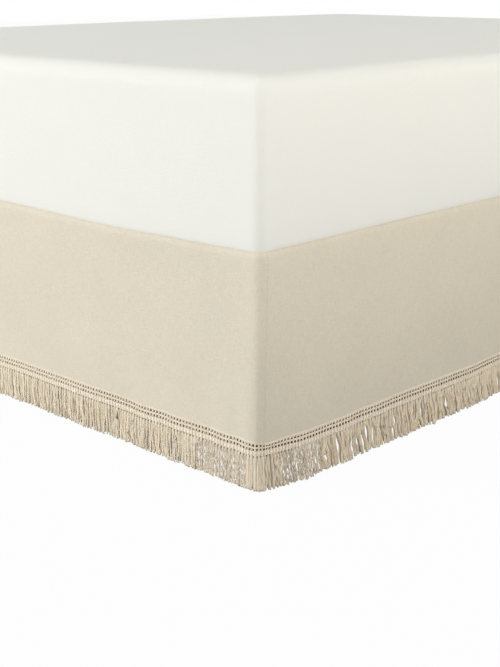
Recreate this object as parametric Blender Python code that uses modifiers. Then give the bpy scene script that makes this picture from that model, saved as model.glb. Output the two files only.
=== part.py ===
"""A tailored bed skirt with a fringed trim, hung round three sides of a plain bed.

Metres, +Z up. X is the bed's width and Y its length, with the foot at -Y and the
open head at +Y. The origin is on the floor under the middle of the bed.
"""

import math
import random
from collections import namedtuple

import bmesh
import bpy
from mathutils import Vector

OBJECT_NAME = "bed_skirt"

# Skirt as hung: its outer faces at the top edge
HALF_WIDTH = 0.762
HALF_LENGTH = 1.016
SKIRT_TOP = 0.381
HEM = 0.080
CORNER_RADIUS = 0.030
ROLL_RADIUS = 0.010
FLAP_REACH = 0.0265
CLOTH = 0.0015
CLEAR = 0.0003

# Corner seams, just past the middle of each foot corner
SEAM_ANGLE = math.radians(66.0)
SEAM_GAP = 0.0009

# How the hems hang: pulled in along the foot, standing out along the sides
FOOT_FLARE = -0.0086
CORNER_FLARE = -0.0060
SIDE_FLARE = 0.0096
FLARE_RUN = 0.100

# Slow waves in the hang: length along the skirt, height at the hem, phase
Wave = namedtuple("Wave", "length height phase")
WAVES = (
    Wave(0.730, 0.0011, 0.4),
    Wave(0.410, 0.0008, 2.1),
    Wave(0.230, 0.0004, 4.0),
)
PANEL_STEP = 0.046
HANG_ROWS = 6
ROLL_STEPS = 3

# Trim: a narrow header with cut locks below it
HEADER_TOP = HEM - 0.0004
HEADER_FOOT = 0.0590
HEADER_THICK = 0.0020
ARC_CELLS = {"foot": 3, "side": 1}
STRAIGHT_CELLS = {"foot": 79, "side": 106}
LOCK_SHARE = 0.88
LOCK_LEAST_WIDTH = 0.006
LOCK_END = 0.0035
LOCK_RAGGED = 0.0075
LOCK_THICK = 2.3
LOCK_NARROW = 0.90
LOCK_LEAN = 0.0010
LOCK_REACH = 0.0016
LOCK_SLANT = 0.0020
FRINGE_SEED = 7

# Bed
BASE_INSET = 0.013
BASE_CORNER = 0.040
BASE_EDGE = 0.005
LEG_HEIGHT = 0.1524
LEG_TOP_RADIUS = 0.034
LEG_FOOT_RADIUS = 0.027
LEG_X = 0.600
LEG_ROWS = (-0.860, 0.0, 0.860)
MATTRESS_HEIGHT = 0.254
MATTRESS_INSET = 0.0015
MATTRESS_EDGE = 0.014
MATTRESS_CORNER = 0.030
MATTRESS_CROWN = 0.010
MATTRESS_CUTS = 7

# Colours: linear RGB, roughness
Finish = namedtuple("Finish", "name colour roughness")
LINEN = Finish("natural_linen", (0.73, 0.68, 0.56), 0.92)
TRIM = Finish("flax_trim", (0.52, 0.45, 0.34), 0.90)
TICKING = Finish("white_cover", (0.88, 0.88, 0.85), 0.85)
BASE_CLOTH = Finish("base_cover", (0.62, 0.61, 0.58), 0.90)
BEECH = Finish("beech", (0.55, 0.38, 0.22), 0.45)

Station = namedtuple("Station", "point normal along")


def clear_scene():
    """Remove every object of the open file."""
    for old in list(bpy.data.objects):
        bpy.data.objects.remove(old, do_unlink=True)


def new_collection():
    """The collection that holds the parts."""
    found = bpy.data.collections.new(OBJECT_NAME)
    bpy.context.scene.collection.children.link(found)
    return found


def new_material(finish):
    """A Principled material of one colour."""
    material = bpy.data.materials.new(finish.name)
    material.use_nodes = True
    shader = material.node_tree.nodes["Principled BSDF"]
    shader.inputs["Base Color"].default_value = (*finish.colour, 1.0)
    shader.inputs["Roughness"].default_value = finish.roughness
    shader.inputs["Metallic"].default_value = 0.0
    return material


def new_object(name, shape, material, collection):
    """An object made of a bmesh, smooth where its faces meet softly."""
    mesh = bpy.data.meshes.new(name)
    shape.to_mesh(mesh)
    shape.free()
    mesh.materials.append(material)
    mesh.shade_smooth()
    mesh.set_sharp_from_angle(angle=math.radians(40))
    made = bpy.data.objects.new(name, mesh)
    collection.objects.link(made)
    return made


# The skirt's outline in plan ---------------------------------------------------

SIDE_RUN = 2 * HALF_LENGTH - CORNER_RADIUS
ARC_RUN = CORNER_RADIUS * math.pi / 2
FOOT_RUN = 2 * (HALF_WIDTH - CORNER_RADIUS)
FULL_RUN = 2 * SIDE_RUN + 2 * ARC_RUN + FOOT_RUN
CORNER_MIDDLE = SIDE_RUN + ARC_RUN / 2
SEAM_AT = SIDE_RUN + CORNER_RADIUS * (math.pi / 2 - SEAM_ANGLE)


def station(along):
    """The outline's point and outward normal, from the right side's head end."""
    mirrored = along > FULL_RUN / 2
    run = FULL_RUN - along if mirrored else along
    if run <= SIDE_RUN:
        point = Vector((HALF_WIDTH, HALF_LENGTH - run))
        normal = Vector((1.0, 0.0))
    elif run <= SIDE_RUN + ARC_RUN:
        turn = (run - SIDE_RUN) / CORNER_RADIUS
        normal = Vector((math.cos(turn), -math.sin(turn)))
        centre = Vector((HALF_WIDTH - CORNER_RADIUS, CORNER_RADIUS - HALF_LENGTH))
        point = centre + CORNER_RADIUS * normal
    else:
        reach = FULL_RUN / 2 - run
        point = Vector((reach, -HALF_LENGTH))
        normal = Vector((0.0, -1.0))
    if mirrored:
        point.x = -point.x
        normal.x = -normal.x
    return Station(point, normal, along)


def shifted(place, distance):
    """A station moved along its own tangent, its normal kept."""
    tangent = Vector((place.normal.y, -place.normal.x))
    return Station(place.point + distance * tangent, place.normal, place.along + distance)


def evenly(start, end, count):
    """Count + 1 values from start to end."""
    return [start + (end - start) * step / count for step in range(count + 1)]


def panel_breaks():
    """Where each panel starts and ends along the outline, and its bends."""
    right_arc, foot_start = SIDE_RUN, SIDE_RUN + ARC_RUN
    return {
        "right": (0.0, right_arc, SEAM_AT),
        "foot": (SEAM_AT, foot_start, FULL_RUN - foot_start, FULL_RUN - SEAM_AT),
        "left": (FULL_RUN - SEAM_AT, FULL_RUN - right_arc, FULL_RUN),
    }


def along_panel(side):
    """Places for a panel's columns: wide on the straights, close round the corners."""
    places = []
    breaks = panel_breaks()[side]
    for start, end in zip(breaks, breaks[1:]):
        arc = end - start < 2 * ARC_RUN
        step = CORNER_RADIUS * math.radians(17) if arc else PANEL_STEP
        places += evenly(start, end, math.ceil((end - start) / step))[:-1]
    return places + [breaks[-1]]


def stations_at(places):
    """Stations at these places, held back from the seams by half their gap."""
    found = [station(place) for place in places]
    if places[0] > 0.0:
        found[0] = shifted(found[0], SEAM_GAP / 2)
    if places[-1] < FULL_RUN:
        found[-1] = shifted(found[-1], -SEAM_GAP / 2)
    return found


# How the cloth hangs -----------------------------------------------------------


def smooth(share):
    """A smooth rise from 0 to 1."""
    share = min(max(share, 0.0), 1.0)
    return share * share * (3.0 - 2.0 * share)


def hem_flare(along):
    """How far the hem stands out of the top edge's plane, at this place."""
    run = min(along, FULL_RUN - along)
    past = CORNER_MIDDLE - run
    if past > 0.0:
        return CORNER_FLARE + (SIDE_FLARE - CORNER_FLARE) * smooth(past / FLARE_RUN)
    return CORNER_FLARE + (FOOT_FLARE - CORNER_FLARE) * smooth(-past / FLARE_RUN)


def ripple(along):
    """The height of the slow waves at the hem, at this place."""
    return sum(w.height * math.sin(2 * math.pi * along / w.length + w.phase) for w in WAVES)


def stand_out(along, height):
    """How far the hung cloth stands out of the outline, at this place and height."""
    fallen = (SKIRT_TOP - ROLL_RADIUS - height) / (SKIRT_TOP - ROLL_RADIUS - HEM)
    fallen = min(max(fallen, 0.0), 1.0)
    return hem_flare(along) * fallen + ripple(along) * fallen**1.4


def panel_section(along):
    """Points of the cloth's outer face from its flap to its hem: reach out, height."""
    points = [(-FLAP_REACH, SKIRT_TOP)]
    for step in range(ROLL_STEPS + 1):
        turn = math.pi / 2 * step / ROLL_STEPS
        out = ROLL_RADIUS * (math.sin(turn) - 1.0)
        points.append((out, SKIRT_TOP + ROLL_RADIUS * (math.cos(turn) - 1.0)))
    for height in evenly(SKIRT_TOP - ROLL_RADIUS, HEM, HANG_ROWS)[1:]:
        points.append((stand_out(along, height), height))
    return points


def sheet(sections):
    """An open surface through rows of points, facing outward."""
    shape = bmesh.new()
    columns = [[shape.verts.new(point) for point in section] for section in sections]
    for one, two in zip(columns, columns[1:]):
        for row in range(len(one) - 1):
            shape.faces.new((one[row], one[row + 1], two[row + 1], two[row]))
    bmesh.ops.recalc_face_normals(shape, faces=shape.faces)
    shape.faces.ensure_lookup_table()
    middle = shape.faces[len(shape.faces) // 2]
    if middle.normal.xy.dot(middle.calc_center_median().xy) < 0.0:
        bmesh.ops.reverse_faces(shape, faces=shape.faces)
    return shape


def add_panel(side, material, collection):
    """One skirt panel: flap, soft roll and hang, as thick as its cloth."""
    sections = []
    for place in stations_at(along_panel(side)):
        points = []
        for out, height in panel_section(place.along):
            spot = place.point + out * place.normal
            points.append((spot.x, spot.y, height))
        sections.append(points)
    panel = new_object(f"skirt_{side}", sheet(sections), material, collection)
    thicken = panel.modifiers.new("cloth", "SOLIDIFY")
    thicken.thickness = CLOTH
    thicken.offset = -1.0
    thicken.use_even_offset = True
    return panel


# The trim ----------------------------------------------------------------------


def along_trim(side):
    """Places for the header's columns: a narrow gap, then a lock, again and again."""
    kind = "foot" if side == "foot" else "side"
    breaks = panel_breaks()[side]
    places = [breaks[0]]
    for start, end in zip(breaks, breaks[1:]):
        cells = ARC_CELLS[kind] if end - start < 2 * ARC_RUN else STRAIGHT_CELLS[kind]
        pitch = (end - start) / cells
        margin = pitch * (1.0 - LOCK_SHARE) / 2
        for cell in range(cells):
            places.append(start + cell * pitch + margin)
            places.append(start + (cell + 1) * pitch - margin)
    return places + [breaks[-1]]


def longest_edge(face):
    """The vector along a face's longest edge."""
    return max((edge.verts[1].co - edge.verts[0].co for edge in face.edges), key=lambda edge: edge.length)


def pull_lock(root, chance):
    """Draw one lock down from its root face, thicker and a little narrower below."""
    centre = root.calc_center_median()
    width = longest_edge(root)
    tangent = width.normalized()
    across = tangent.cross(Vector((0.0, 0.0, 1.0)))
    lean = chance.uniform(-LOCK_LEAN, LOCK_LEAN)
    reach = chance.uniform(-LOCK_REACH, LOCK_REACH)
    slant = chance.uniform(-LOCK_SLANT, LOCK_SLANT)
    end = LOCK_END + LOCK_SLANT + LOCK_RAGGED * chance.random() ** 2
    for corner in root.verts:
        side = (corner.co - centre).dot(tangent)
        depth = (corner.co - centre).dot(across)
        spot = centre + tangent * (side * LOCK_NARROW + lean) + across * (depth * LOCK_THICK + reach)
        corner.co = (spot.x, spot.y, end + slant * side / (width.length / 2))


def add_trim(side, material, collection):
    """One trim: a header strip with a row of locks drawn from its lower edge."""
    sections = []
    for place in stations_at(along_trim(side)):
        out = stand_out(place.along, HEM)
        spot = place.point + out * place.normal
        sections.append([(spot.x, spot.y, HEADER_TOP), (spot.x, spot.y, HEADER_FOOT)])
    shape = sheet(sections)
    bmesh.ops.solidify(shape, geom=shape.faces[:], thickness=HEADER_THICK)
    bmesh.ops.recalc_face_normals(shape, faces=shape.faces)
    roots = [
        face
        for face in shape.faces
        if face.normal.z < -0.9 and longest_edge(face).length > LOCK_LEAST_WIDTH
    ]
    roots.sort(key=lambda face: tuple(face.calc_center_median()))
    pulled = bmesh.ops.extrude_discrete_faces(shape, faces=roots)["faces"]
    chance = random.Random(f"{FRINGE_SEED} {side}")
    for root in pulled:
        pull_lock(root, chance)
    bmesh.ops.recalc_face_normals(shape, faces=shape.faces)
    return new_object(f"trim_{side}", shape, material, collection)


# The bed -----------------------------------------------------------------------


def block(low, high):
    """A box between two corners."""
    shape = bmesh.new()
    bmesh.ops.create_cube(shape, size=1.0)
    low, high = Vector(low), Vector(high)
    for vert in shape.verts:
        vert.co = Vector((l + (h - l) * (c + 0.5) for l, h, c in zip(low, high, vert.co)))
    return shape


def round_upright_edges(target, wanted, radius, segments):
    """A Bevel on the upright edges whose place is wanted."""
    weights = target.data.attributes.new("bevel_weight_edge", "FLOAT", "EDGE")
    for edge in target.data.edges:
        one, two = (target.data.vertices[index].co for index in edge.vertices)
        upright = abs(one.z - two.z) > (one - two).xy.length
        weights.data[edge.index].value = 1.0 if upright and wanted(one) else 0.0
    bevel = target.modifiers.new("upright_edges", "BEVEL")
    bevel.limit_method = "WEIGHT"
    bevel.width = radius
    bevel.segments = segments


def at_foot(place):
    """Whether a place is in the foot half of the bed."""
    return place.y < 0.0


def anywhere(_place):
    """Every place."""
    return True


def round_all_edges(target, radius, segments):
    """A Bevel on every remaining sharp edge."""
    bevel = target.modifiers.new("edges", "BEVEL")
    bevel.limit_method = "ANGLE"
    bevel.angle_limit = math.radians(60)
    bevel.width = radius
    bevel.segments = segments


def add_base(material, collection):
    """The foundation that the skirt falls over."""
    side, foot = HALF_WIDTH - BASE_INSET, HALF_LENGTH - BASE_INSET
    top = SKIRT_TOP - CLOTH - CLEAR
    head = HALF_LENGTH - CLOTH
    shape = block((-side, -foot, LEG_HEIGHT + CLEAR), (side, head, top))
    base = new_object("bed_base", shape, material, collection)
    round_upright_edges(base, at_foot, BASE_CORNER, 6)
    round_all_edges(base, BASE_EDGE, 2)
    return base


def add_deck(material, collection):
    """The platform sheet that the panels are sewn to, under the mattress."""
    side = HALF_WIDTH - FLAP_REACH - CLEAR
    foot = HALF_LENGTH - FLAP_REACH - CLEAR
    head = HALF_LENGTH - 2 * CLOTH
    shape = block((-side, -foot, SKIRT_TOP - CLOTH), (side, head, SKIRT_TOP))
    deck = new_object("skirt_deck", shape, material, collection)
    round_upright_edges(deck, at_foot, CORNER_RADIUS - FLAP_REACH - CLEAR, 3)
    return deck


def add_mattress(material, collection):
    """The filled mattress: flat below, softly crowned above, its edges round."""
    side, end = HALF_WIDTH - MATTRESS_INSET, HALF_LENGTH - MATTRESS_INSET
    floor = SKIRT_TOP + CLEAR
    shape = block((-side, -end, floor), (side, end, floor + MATTRESS_HEIGHT))
    shape.normal_update()
    lid = max(shape.faces, key=lambda face: face.normal.z)
    bmesh.ops.subdivide_edges(shape, edges=lid.edges[:], cuts=MATTRESS_CUTS, use_grid_fill=True)
    for vert in shape.verts:
        if vert.co.z > floor + MATTRESS_HEIGHT / 2:
            across = 1.0 - (vert.co.x / side) ** 2
            along = 1.0 - (vert.co.y / end) ** 2
            vert.co.z += MATTRESS_CROWN * math.sqrt(max(across * along, 0.0))
    mattress = new_object("mattress", shape, material, collection)
    round_upright_edges(mattress, anywhere, MATTRESS_CORNER, 4)
    round_all_edges(mattress, MATTRESS_EDGE, 3)
    return mattress


def add_legs(material, collection):
    """Six turned legs under the foundation."""
    count = 0
    for y in LEG_ROWS:
        for x in (-LEG_X, LEG_X):
            count += 1
            shape = bmesh.new()
            bmesh.ops.create_cone(
                shape,
                cap_ends=True,
                segments=20,
                radius1=LEG_FOOT_RADIUS,
                radius2=LEG_TOP_RADIUS,
                depth=LEG_HEIGHT,
            )
            leg = new_object(f"leg_{count}", shape, material, collection)
            leg.location = (x, y, LEG_HEIGHT / 2)


def main():
    """Build the skirt, its trim and the bed that carries it."""
    clear_scene()
    collection = new_collection()
    linen, trim = new_material(LINEN), new_material(TRIM)
    for side in ("foot", "right", "left"):
        add_panel(side, linen, collection)
        add_trim(side, trim, collection)
    add_deck(linen, collection)
    add_mattress(new_material(TICKING), collection)
    add_base(new_material(BASE_CLOTH), collection)
    add_legs(new_material(BEECH), collection)


if __name__ == "__main__":
    main()
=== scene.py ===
"""Bed skirt with an openwork header and a cut fringe, hung round a plain bed.

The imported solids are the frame: every piece is made in their metres, with the
floor at zero and the foot of the bed towards -Y. Each sub-assembly is a class
that builds its meshes and dresses them with the finishes below.
"""

import logging
import math
from dataclasses import dataclass, field, replace
from enum import Enum

import bmesh
import bpy
import numpy as np
from mathutils import Matrix, Vector


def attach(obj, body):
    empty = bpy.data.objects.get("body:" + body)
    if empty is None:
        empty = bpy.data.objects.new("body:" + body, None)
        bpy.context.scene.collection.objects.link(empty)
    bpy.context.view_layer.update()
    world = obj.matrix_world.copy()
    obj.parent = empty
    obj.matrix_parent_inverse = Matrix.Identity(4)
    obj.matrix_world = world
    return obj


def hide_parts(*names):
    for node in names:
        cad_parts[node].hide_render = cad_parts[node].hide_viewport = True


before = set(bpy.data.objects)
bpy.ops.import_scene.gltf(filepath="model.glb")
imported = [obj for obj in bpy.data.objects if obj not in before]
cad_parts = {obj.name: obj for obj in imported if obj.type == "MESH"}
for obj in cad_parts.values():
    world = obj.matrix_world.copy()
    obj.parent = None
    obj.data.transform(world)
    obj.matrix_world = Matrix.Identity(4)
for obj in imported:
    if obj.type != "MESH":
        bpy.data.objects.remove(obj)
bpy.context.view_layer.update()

LOG = logging.getLogger("bed_skirt")

Array = np.ndarray
Colour = tuple[float, float, float]
Knots = tuple[tuple[float, float], ...]
Ends = tuple[Array | float, Array | float]
Socket = bpy.types.NodeSocket

MM = 0.001
PITCH = 0.00705
ROOM_LIMITS = (0.0055, 0.0078)
PLAIN_TONE = 0.5
TINY = 1e-9
ROUNDED_TO = 5
NOISE_ROUGHNESS = 0.55
MIX_INPUTS = (0, 6, 7)
MIX_RESULT = 2
SPECULAR = 0.2
SHEEN_ROUGHNESS = 0.6


class Slot(Enum):
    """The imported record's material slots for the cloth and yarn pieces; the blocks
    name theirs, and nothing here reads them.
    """

    LINEN = "linen"
    PLATFORM = "platform"
    TRIM = "trim"
    MATTRESS = "mattress_cover"
    FOUNDATION = "foundation_cover"


class Side(Enum):
    """The three hung sides of the skirt."""

    RIGHT = "right"
    FOOT = "foot"
    LEFT = "left"


class Sweep(Enum):
    """Which way a yarn runs, which sets the plane of its section."""

    DOWN = "down"
    LENGTHWISE = "lengthwise"


class Hang(Enum):
    """How a bundle of the fringe hangs."""

    GATHERED = "gathered"
    LOOSE = "loose"
    BEHIND = "behind"


def ease(share: Array | float) -> Array:
    """Return the share held to 0..1 with soft ends."""
    held = np.clip(share, 0.0, 1.0)
    return held * held * (3 - 2 * held)


def bell(off: Array, width: float) -> Array:
    """Return a smooth bump, 1 in its middle and fading out over the width."""
    return np.exp(-((off / width) ** 2))


def quarter(knots: int) -> Array:
    """Return the angles of a quarter turn, in radians."""
    return np.radians(np.linspace(0, 90, knots))


def spaced(places: list[Array], least: float, *, to_end: bool = False) -> Array:
    """Join lists of places and drop each that is too near the one before it.

    Args:
        places: The lists, in metres.
        least: The least distance between two places.
        to_end: Whether the last place stays however near it is.

    Returns:
        The places in order.
    """
    merged = np.unique(np.round(np.concatenate(places), ROUNDED_TO))
    keep = np.concatenate([[True], np.diff(merged) > least])
    keep[-1] |= to_end
    return merged[keep]


def room_for(centres: Array) -> Array:
    """Return the room round each post or bundle, as a share of the plain pitch."""
    return np.clip(np.gradient(centres), *ROOM_LIMITS)[:, None] / PITCH


def eased_line(where: Array, knots: Knots) -> Array:
    """Follow a line through knots with a soft turn at each.

    Args:
        where: Places to read.
        knots: Pairs of place and value, in rising order of place.

    Returns:
        The value at each place, level beyond the end knots.
    """
    places, values = (np.array(column) for column in zip(*knots, strict=True))
    index = np.clip(np.searchsorted(places, where) - 1, 0, len(places) - 2)
    share = ease((where - places[index]) / (places[index + 1] - places[index]))
    return values[index] + (values[index + 1] - values[index]) * share


@dataclass(frozen=True)
class Wave:
    """One long wave in the hang of the cloth, in metres and radians."""

    length: float
    height: float
    phase: float

    def read(self, where: Array) -> Array:
        """Return the wave at these places, from -1 to 1."""
        return np.sin(2 * math.pi * where / self.length + self.phase)


@dataclass(frozen=True)
class BedLine:
    """The line that the skirt follows round the bed, and how its cloth stands off it.

    A place along it is measured from the right side's head end, round the foot,
    to the left side's head end. The rises and the slump are in millimetres at
    distances from the corner in metres.
    """

    half_width: float = 0.762
    half_length: float = 1.016
    corner: float = 0.030
    top: float = 0.381
    hem: float = 0.080
    roll: float = 0.010
    seam_angle: float = math.radians(66)
    foot_flare: float = -0.0086
    corner_flare: float = -0.0060
    side_flare: float = 0.0096
    flare_run: float = 0.100
    corner_power: float = 4.2
    crisp_at_hem: float = 0.25
    crisp_from: float = 0.10
    crisp_run: float = 0.14
    waves: tuple[Wave, ...] = (
        Wave(0.730, 0.0011, 0.4),
        Wave(0.410, 0.0008, 2.1),
        Wave(0.230, 0.0004, 4.0),
    )
    ripple_power: float = 1.4
    sway: float = -1.8
    sway_power: int = 3
    foot_rise: Knots = (
        (0.0, 0.3), (0.025, 0.0), (0.045, 0.5), (0.075, -0.9), (0.107, 0.1),
        (0.145, -0.5), (0.183, -1.0), (0.213, -0.1), (0.262, -1.1), (0.30, 0.5),
        (0.335, 0.7), (0.41, 0.3), (0.47, 0.2), (0.53, -0.3), (0.60, 0.2),
        (0.68, -0.5), (0.76, 0.4),
    )  # fmt: skip
    side_rise: Knots = (
        (0.0, 0.8), (0.05, 0.8), (0.08, 0.2), (0.13, -0.4), (0.19, -1.0),
        (0.235, 0.2), (0.275, -0.3), (0.315, 0.4), (0.39, 0.1), (0.49, -0.6),
        (0.55, -1.6), (0.66, -0.4), (0.80, 0.5), (0.95, -0.7), (1.10, 0.3),
        (1.28, -0.8), (1.45, 0.4), (1.62, -0.6), (1.80, 0.3), (2.02, 0.0),
    )  # fmt: skip
    rise_from: float = 0.25
    rise_at_tip: float = 0.35
    rise_full: float = 0.059
    rise_share: float = 0.6
    foot_slump: Knots = (
        (0.0, 0.0), (0.05, 0.0), (0.10, 2.0), (0.19, 2.7), (0.25, 4.6),
        (0.34, 5.2), (0.42, 4.3), (0.48, 3.1), (0.56, 1.8), (0.76, 1.0),
    )  # fmt: skip
    slump_floor: float = 0.290
    slump_in: float = 0.0135
    slump_run: float = 0.0085
    squeeze: float = 0.0034
    squeeze_at: float = -0.022
    squeeze_reach: float = 0.026
    squeeze_from: float = 0.066
    squeeze_run: float = 0.0165

    @property
    def side_run(self) -> float:
        """Length of a straight side."""
        return 2 * self.half_length - self.corner

    @property
    def arc_run(self) -> float:
        """Length of a corner's turn."""
        return self.corner * math.pi / 2

    @property
    def full_run(self) -> float:
        """Length of the whole line."""
        foot = 2 * (self.half_width - self.corner)
        return 2 * self.side_run + 2 * self.arc_run + foot

    @property
    def seam_at(self) -> float:
        """Where the right side's panel meets the foot's."""
        return self.side_run + self.corner * (math.pi / 2 - self.seam_angle)

    @property
    def corner_at(self) -> float:
        """The middle of the right corner's turn."""
        return self.side_run + self.arc_run / 2

    def span(self, side: Side) -> tuple[float, float]:
        """Return where one side's panel starts and ends along the line."""
        spans = {
            Side.RIGHT: (0.0, self.seam_at),
            Side.FOOT: (self.seam_at, self.full_run - self.seam_at),
            Side.LEFT: (self.full_run - self.seam_at, self.full_run),
        }
        return spans[side]

    def station(self, along: Array) -> tuple[Array, Array]:
        """Find points on the line and the directions that face away from the bed.

        Args:
            along: Places along the line.

        Returns:
            Plan points and unit normals, each with a last axis of two.
        """
        run = np.minimum(along, self.full_run - along)
        hand = np.where(along > self.full_run / 2, -1.0, 1.0)
        turn = np.clip((run - self.side_run) / self.corner, 0, math.pi / 2)
        east, south = np.cos(turn), -np.sin(turn)
        past = np.maximum(run - self.side_run - self.arc_run, 0)
        left = np.maximum(self.side_run - run, 0)
        x = self.half_width - self.corner + self.corner * east - past
        y = self.corner - self.half_length + self.corner * south + left
        return np.stack([x * hand, y], -1), np.stack([east * hand, south], -1)

    def from_corner(self, along: Array) -> Array:
        """Return the distance from the nearer corner's middle, positive on the foot."""
        return np.minimum(along, self.full_run - along) - self.corner_at

    def rise(self, along: Array) -> Array:
        """Return how far the header stands above its level place, in metres."""
        past = self.from_corner(along)
        height = np.where(
            past > 0,
            eased_line(past, self.foot_rise),
            eased_line(-past, self.side_rise),
        )
        return height * MM

    def slump(self, past: Array) -> Array:
        """Find how far the mattress presses the foot's top edge down.

        Args:
            past: Distances from the nearer corner, positive on the foot.

        Returns:
            The drop in metres.
        """
        return eased_line(np.maximum(past, 0.0), self.foot_slump) * MM

    def sharpen(self, along: Array, z: Array) -> Array:
        """Find how far the cloth stands out of the plain turn to make a crisper corner.

        Args:
            along: Places along the line.
            z: Heights above the floor.

        Returns:
            The distances in metres, most at the corner's middle and least at the hem.
        """
        run = np.minimum(along, self.full_run - along)
        turn = np.clip((run - self.side_run) / self.corner, 0, math.pi / 2)
        power = self.corner_power
        reach = np.cos(turn) ** power + np.sin(turn) ** power
        crisp = self.corner * (reach ** (-1 / power) - 1)
        high = ease((z - self.crisp_from) / self.crisp_run)
        return crisp * (self.crisp_at_hem + (1 - self.crisp_at_hem) * high)

    def face(self, along: Array, z: Array) -> Array:
        """Find how far the cloth's outer face stands off the line.

        Args:
            along: Places along the line.
            z: Heights above the floor.

        Returns:
            The distances in metres, positive away from the bed.
        """
        past = self.from_corner(along)
        flare = self.corner_flare + np.where(
            past < 0,
            (self.side_flare - self.corner_flare) * ease(-past / self.flare_run),
            (self.foot_flare - self.corner_flare) * ease(past / self.flare_run),
        )
        drop = self.top - self.roll
        fallen = np.clip((drop - z) / (drop - self.hem), 0, 1)
        ripple = sum(wave.height * wave.read(along) for wave in self.waves)
        sway = self.sway * self.rise(along) * fallen**self.sway_power
        crisp = self.sharpen(along, z)
        return flare * fallen + ripple * fallen**self.ripple_power + sway + crisp

    def place(self, along: Array, out: Array, z: Array) -> Array:
        """Put trim or cloth coordinates into the bed's own frame.

        Args:
            along: Places along the line.
            out: Distances off the cloth's outer face.
            z: Heights before the header's rise and fall.

        Returns:
            Points in metres with a last axis of three.
        """
        plan, normal = self.station(along)
        off = (self.face(along, z) + out)[..., None]
        past = self.from_corner(along)
        above = ease((self.rise_from - z) / (self.rise_from - self.hem))
        low = np.clip(z / self.rise_full, 0, 1)
        below = self.rise_at_tip + (1 - self.rise_at_tip) * low
        follow = np.where(z > self.hem, above, below)
        height = z + self.rise(along) * follow * self.rise_share
        bend = bell(past - self.squeeze_at, self.squeeze_reach)
        squeezed = ease((z - self.squeeze_from) / self.squeeze_run)
        height = height - self.squeeze * bend * squeezed * above
        fall = self.top - self.roll - self.slump_floor
        outer = ease((out + self.slump_in) / self.slump_run)
        pressed = ease((z - self.slump_floor) / fall) * outer
        height = height - self.slump(past) * pressed
        return np.concatenate([plan + normal * off, height[..., None]], -1)


LINE = BedLine()


@dataclass
class MeshSketch:
    """Gathers points, faces and flat coordinates, and makes one object of them."""

    points: list[Array] = field(default_factory=list)
    faces: list[Array] = field(default_factory=list)
    cuts: list[Array] = field(default_factory=list)
    tones: list[Array] = field(default_factory=list)
    count: int = 0

    def add(self, points: Array, faces: Array, cut: Array, tone: Array) -> None:
        """Add one patch.

        Args:
            points: Points, (n, 3).
            faces: Corner numbers of each face, (m, corners).
            cut: Flat coordinates of each face's corners, (m, corners, 2).
            tone: A value from 0 to 1 at each point, (n,).
        """
        self.points.append(points)
        self.faces.append(faces + self.count)
        self.cuts.append(cut.reshape(-1, 2))
        self.tones.append(tone)
        self.count += len(points)

    def lay(self, points: Array, flat: Array, flip: bool = False) -> None:
        """Add a grid of points as a plain sheet.

        Args:
            points: Points, (rows, columns, 3).
            flat: Their flat coordinates, (rows, columns, 2).
            flip: Whether it faces the other way.
        """
        faces = grid_faces(*points.shape[:2])
        faces = faces[:, ::-1] if flip else faces
        tone = np.full(points[..., 0].size, PLAIN_TONE)
        self.add(points.reshape(-1, 3), faces, flat.reshape(-1, 2)[faces], tone)

    def make(self, name: str) -> bpy.types.Object:
        """Make the object, smooth shaded, with its flat coordinates and tones.

        Args:
            name: The piece's name.

        Returns:
            The new object, linked to the scene.
        """
        mesh = bpy.data.meshes.new(name)
        faces = [face for patch in self.faces for face in patch.tolist()]
        mesh.from_pydata(np.concatenate(self.points), [], faces)
        layer = mesh.uv_layers.new(name="cut")
        flat = np.concatenate(self.cuts).astype(np.float32)
        layer.data.foreach_set("uv", flat.ravel())
        tone = mesh.attributes.new("tone", "FLOAT", "POINT")
        tone.data.foreach_set("value", np.concatenate(self.tones).astype(np.float32))
        mesh.polygons.foreach_set("use_smooth", np.ones(len(faces), bool))
        mesh.update()
        piece = bpy.data.objects.new(name, mesh)
        bpy.context.scene.collection.objects.link(piece)
        return piece


def rows_of(kind: type, *shared: object, rows: tuple[tuple, ...]) -> tuple:
    """Make one item from each row of values.

    Args:
        kind: The items' class.
        *shared: The first values, which they share.
        rows: The other values of each item.

    Returns:
        The items.
    """
    return tuple(kind(*shared, *row) for row in rows)


def grid_faces(rows: int, columns: int) -> Array:
    """Number the quads of a grid of points.

    Args:
        rows: Rows of points.
        columns: Points in a row.

    Returns:
        Corner numbers, (quads, 4).
    """
    number = np.arange(rows * columns).reshape(rows, columns)
    corners = number[:-1, :-1], number[:-1, 1:], number[1:, 1:], number[1:, :-1]
    return np.stack([corner.ravel() for corner in corners], -1)


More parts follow.
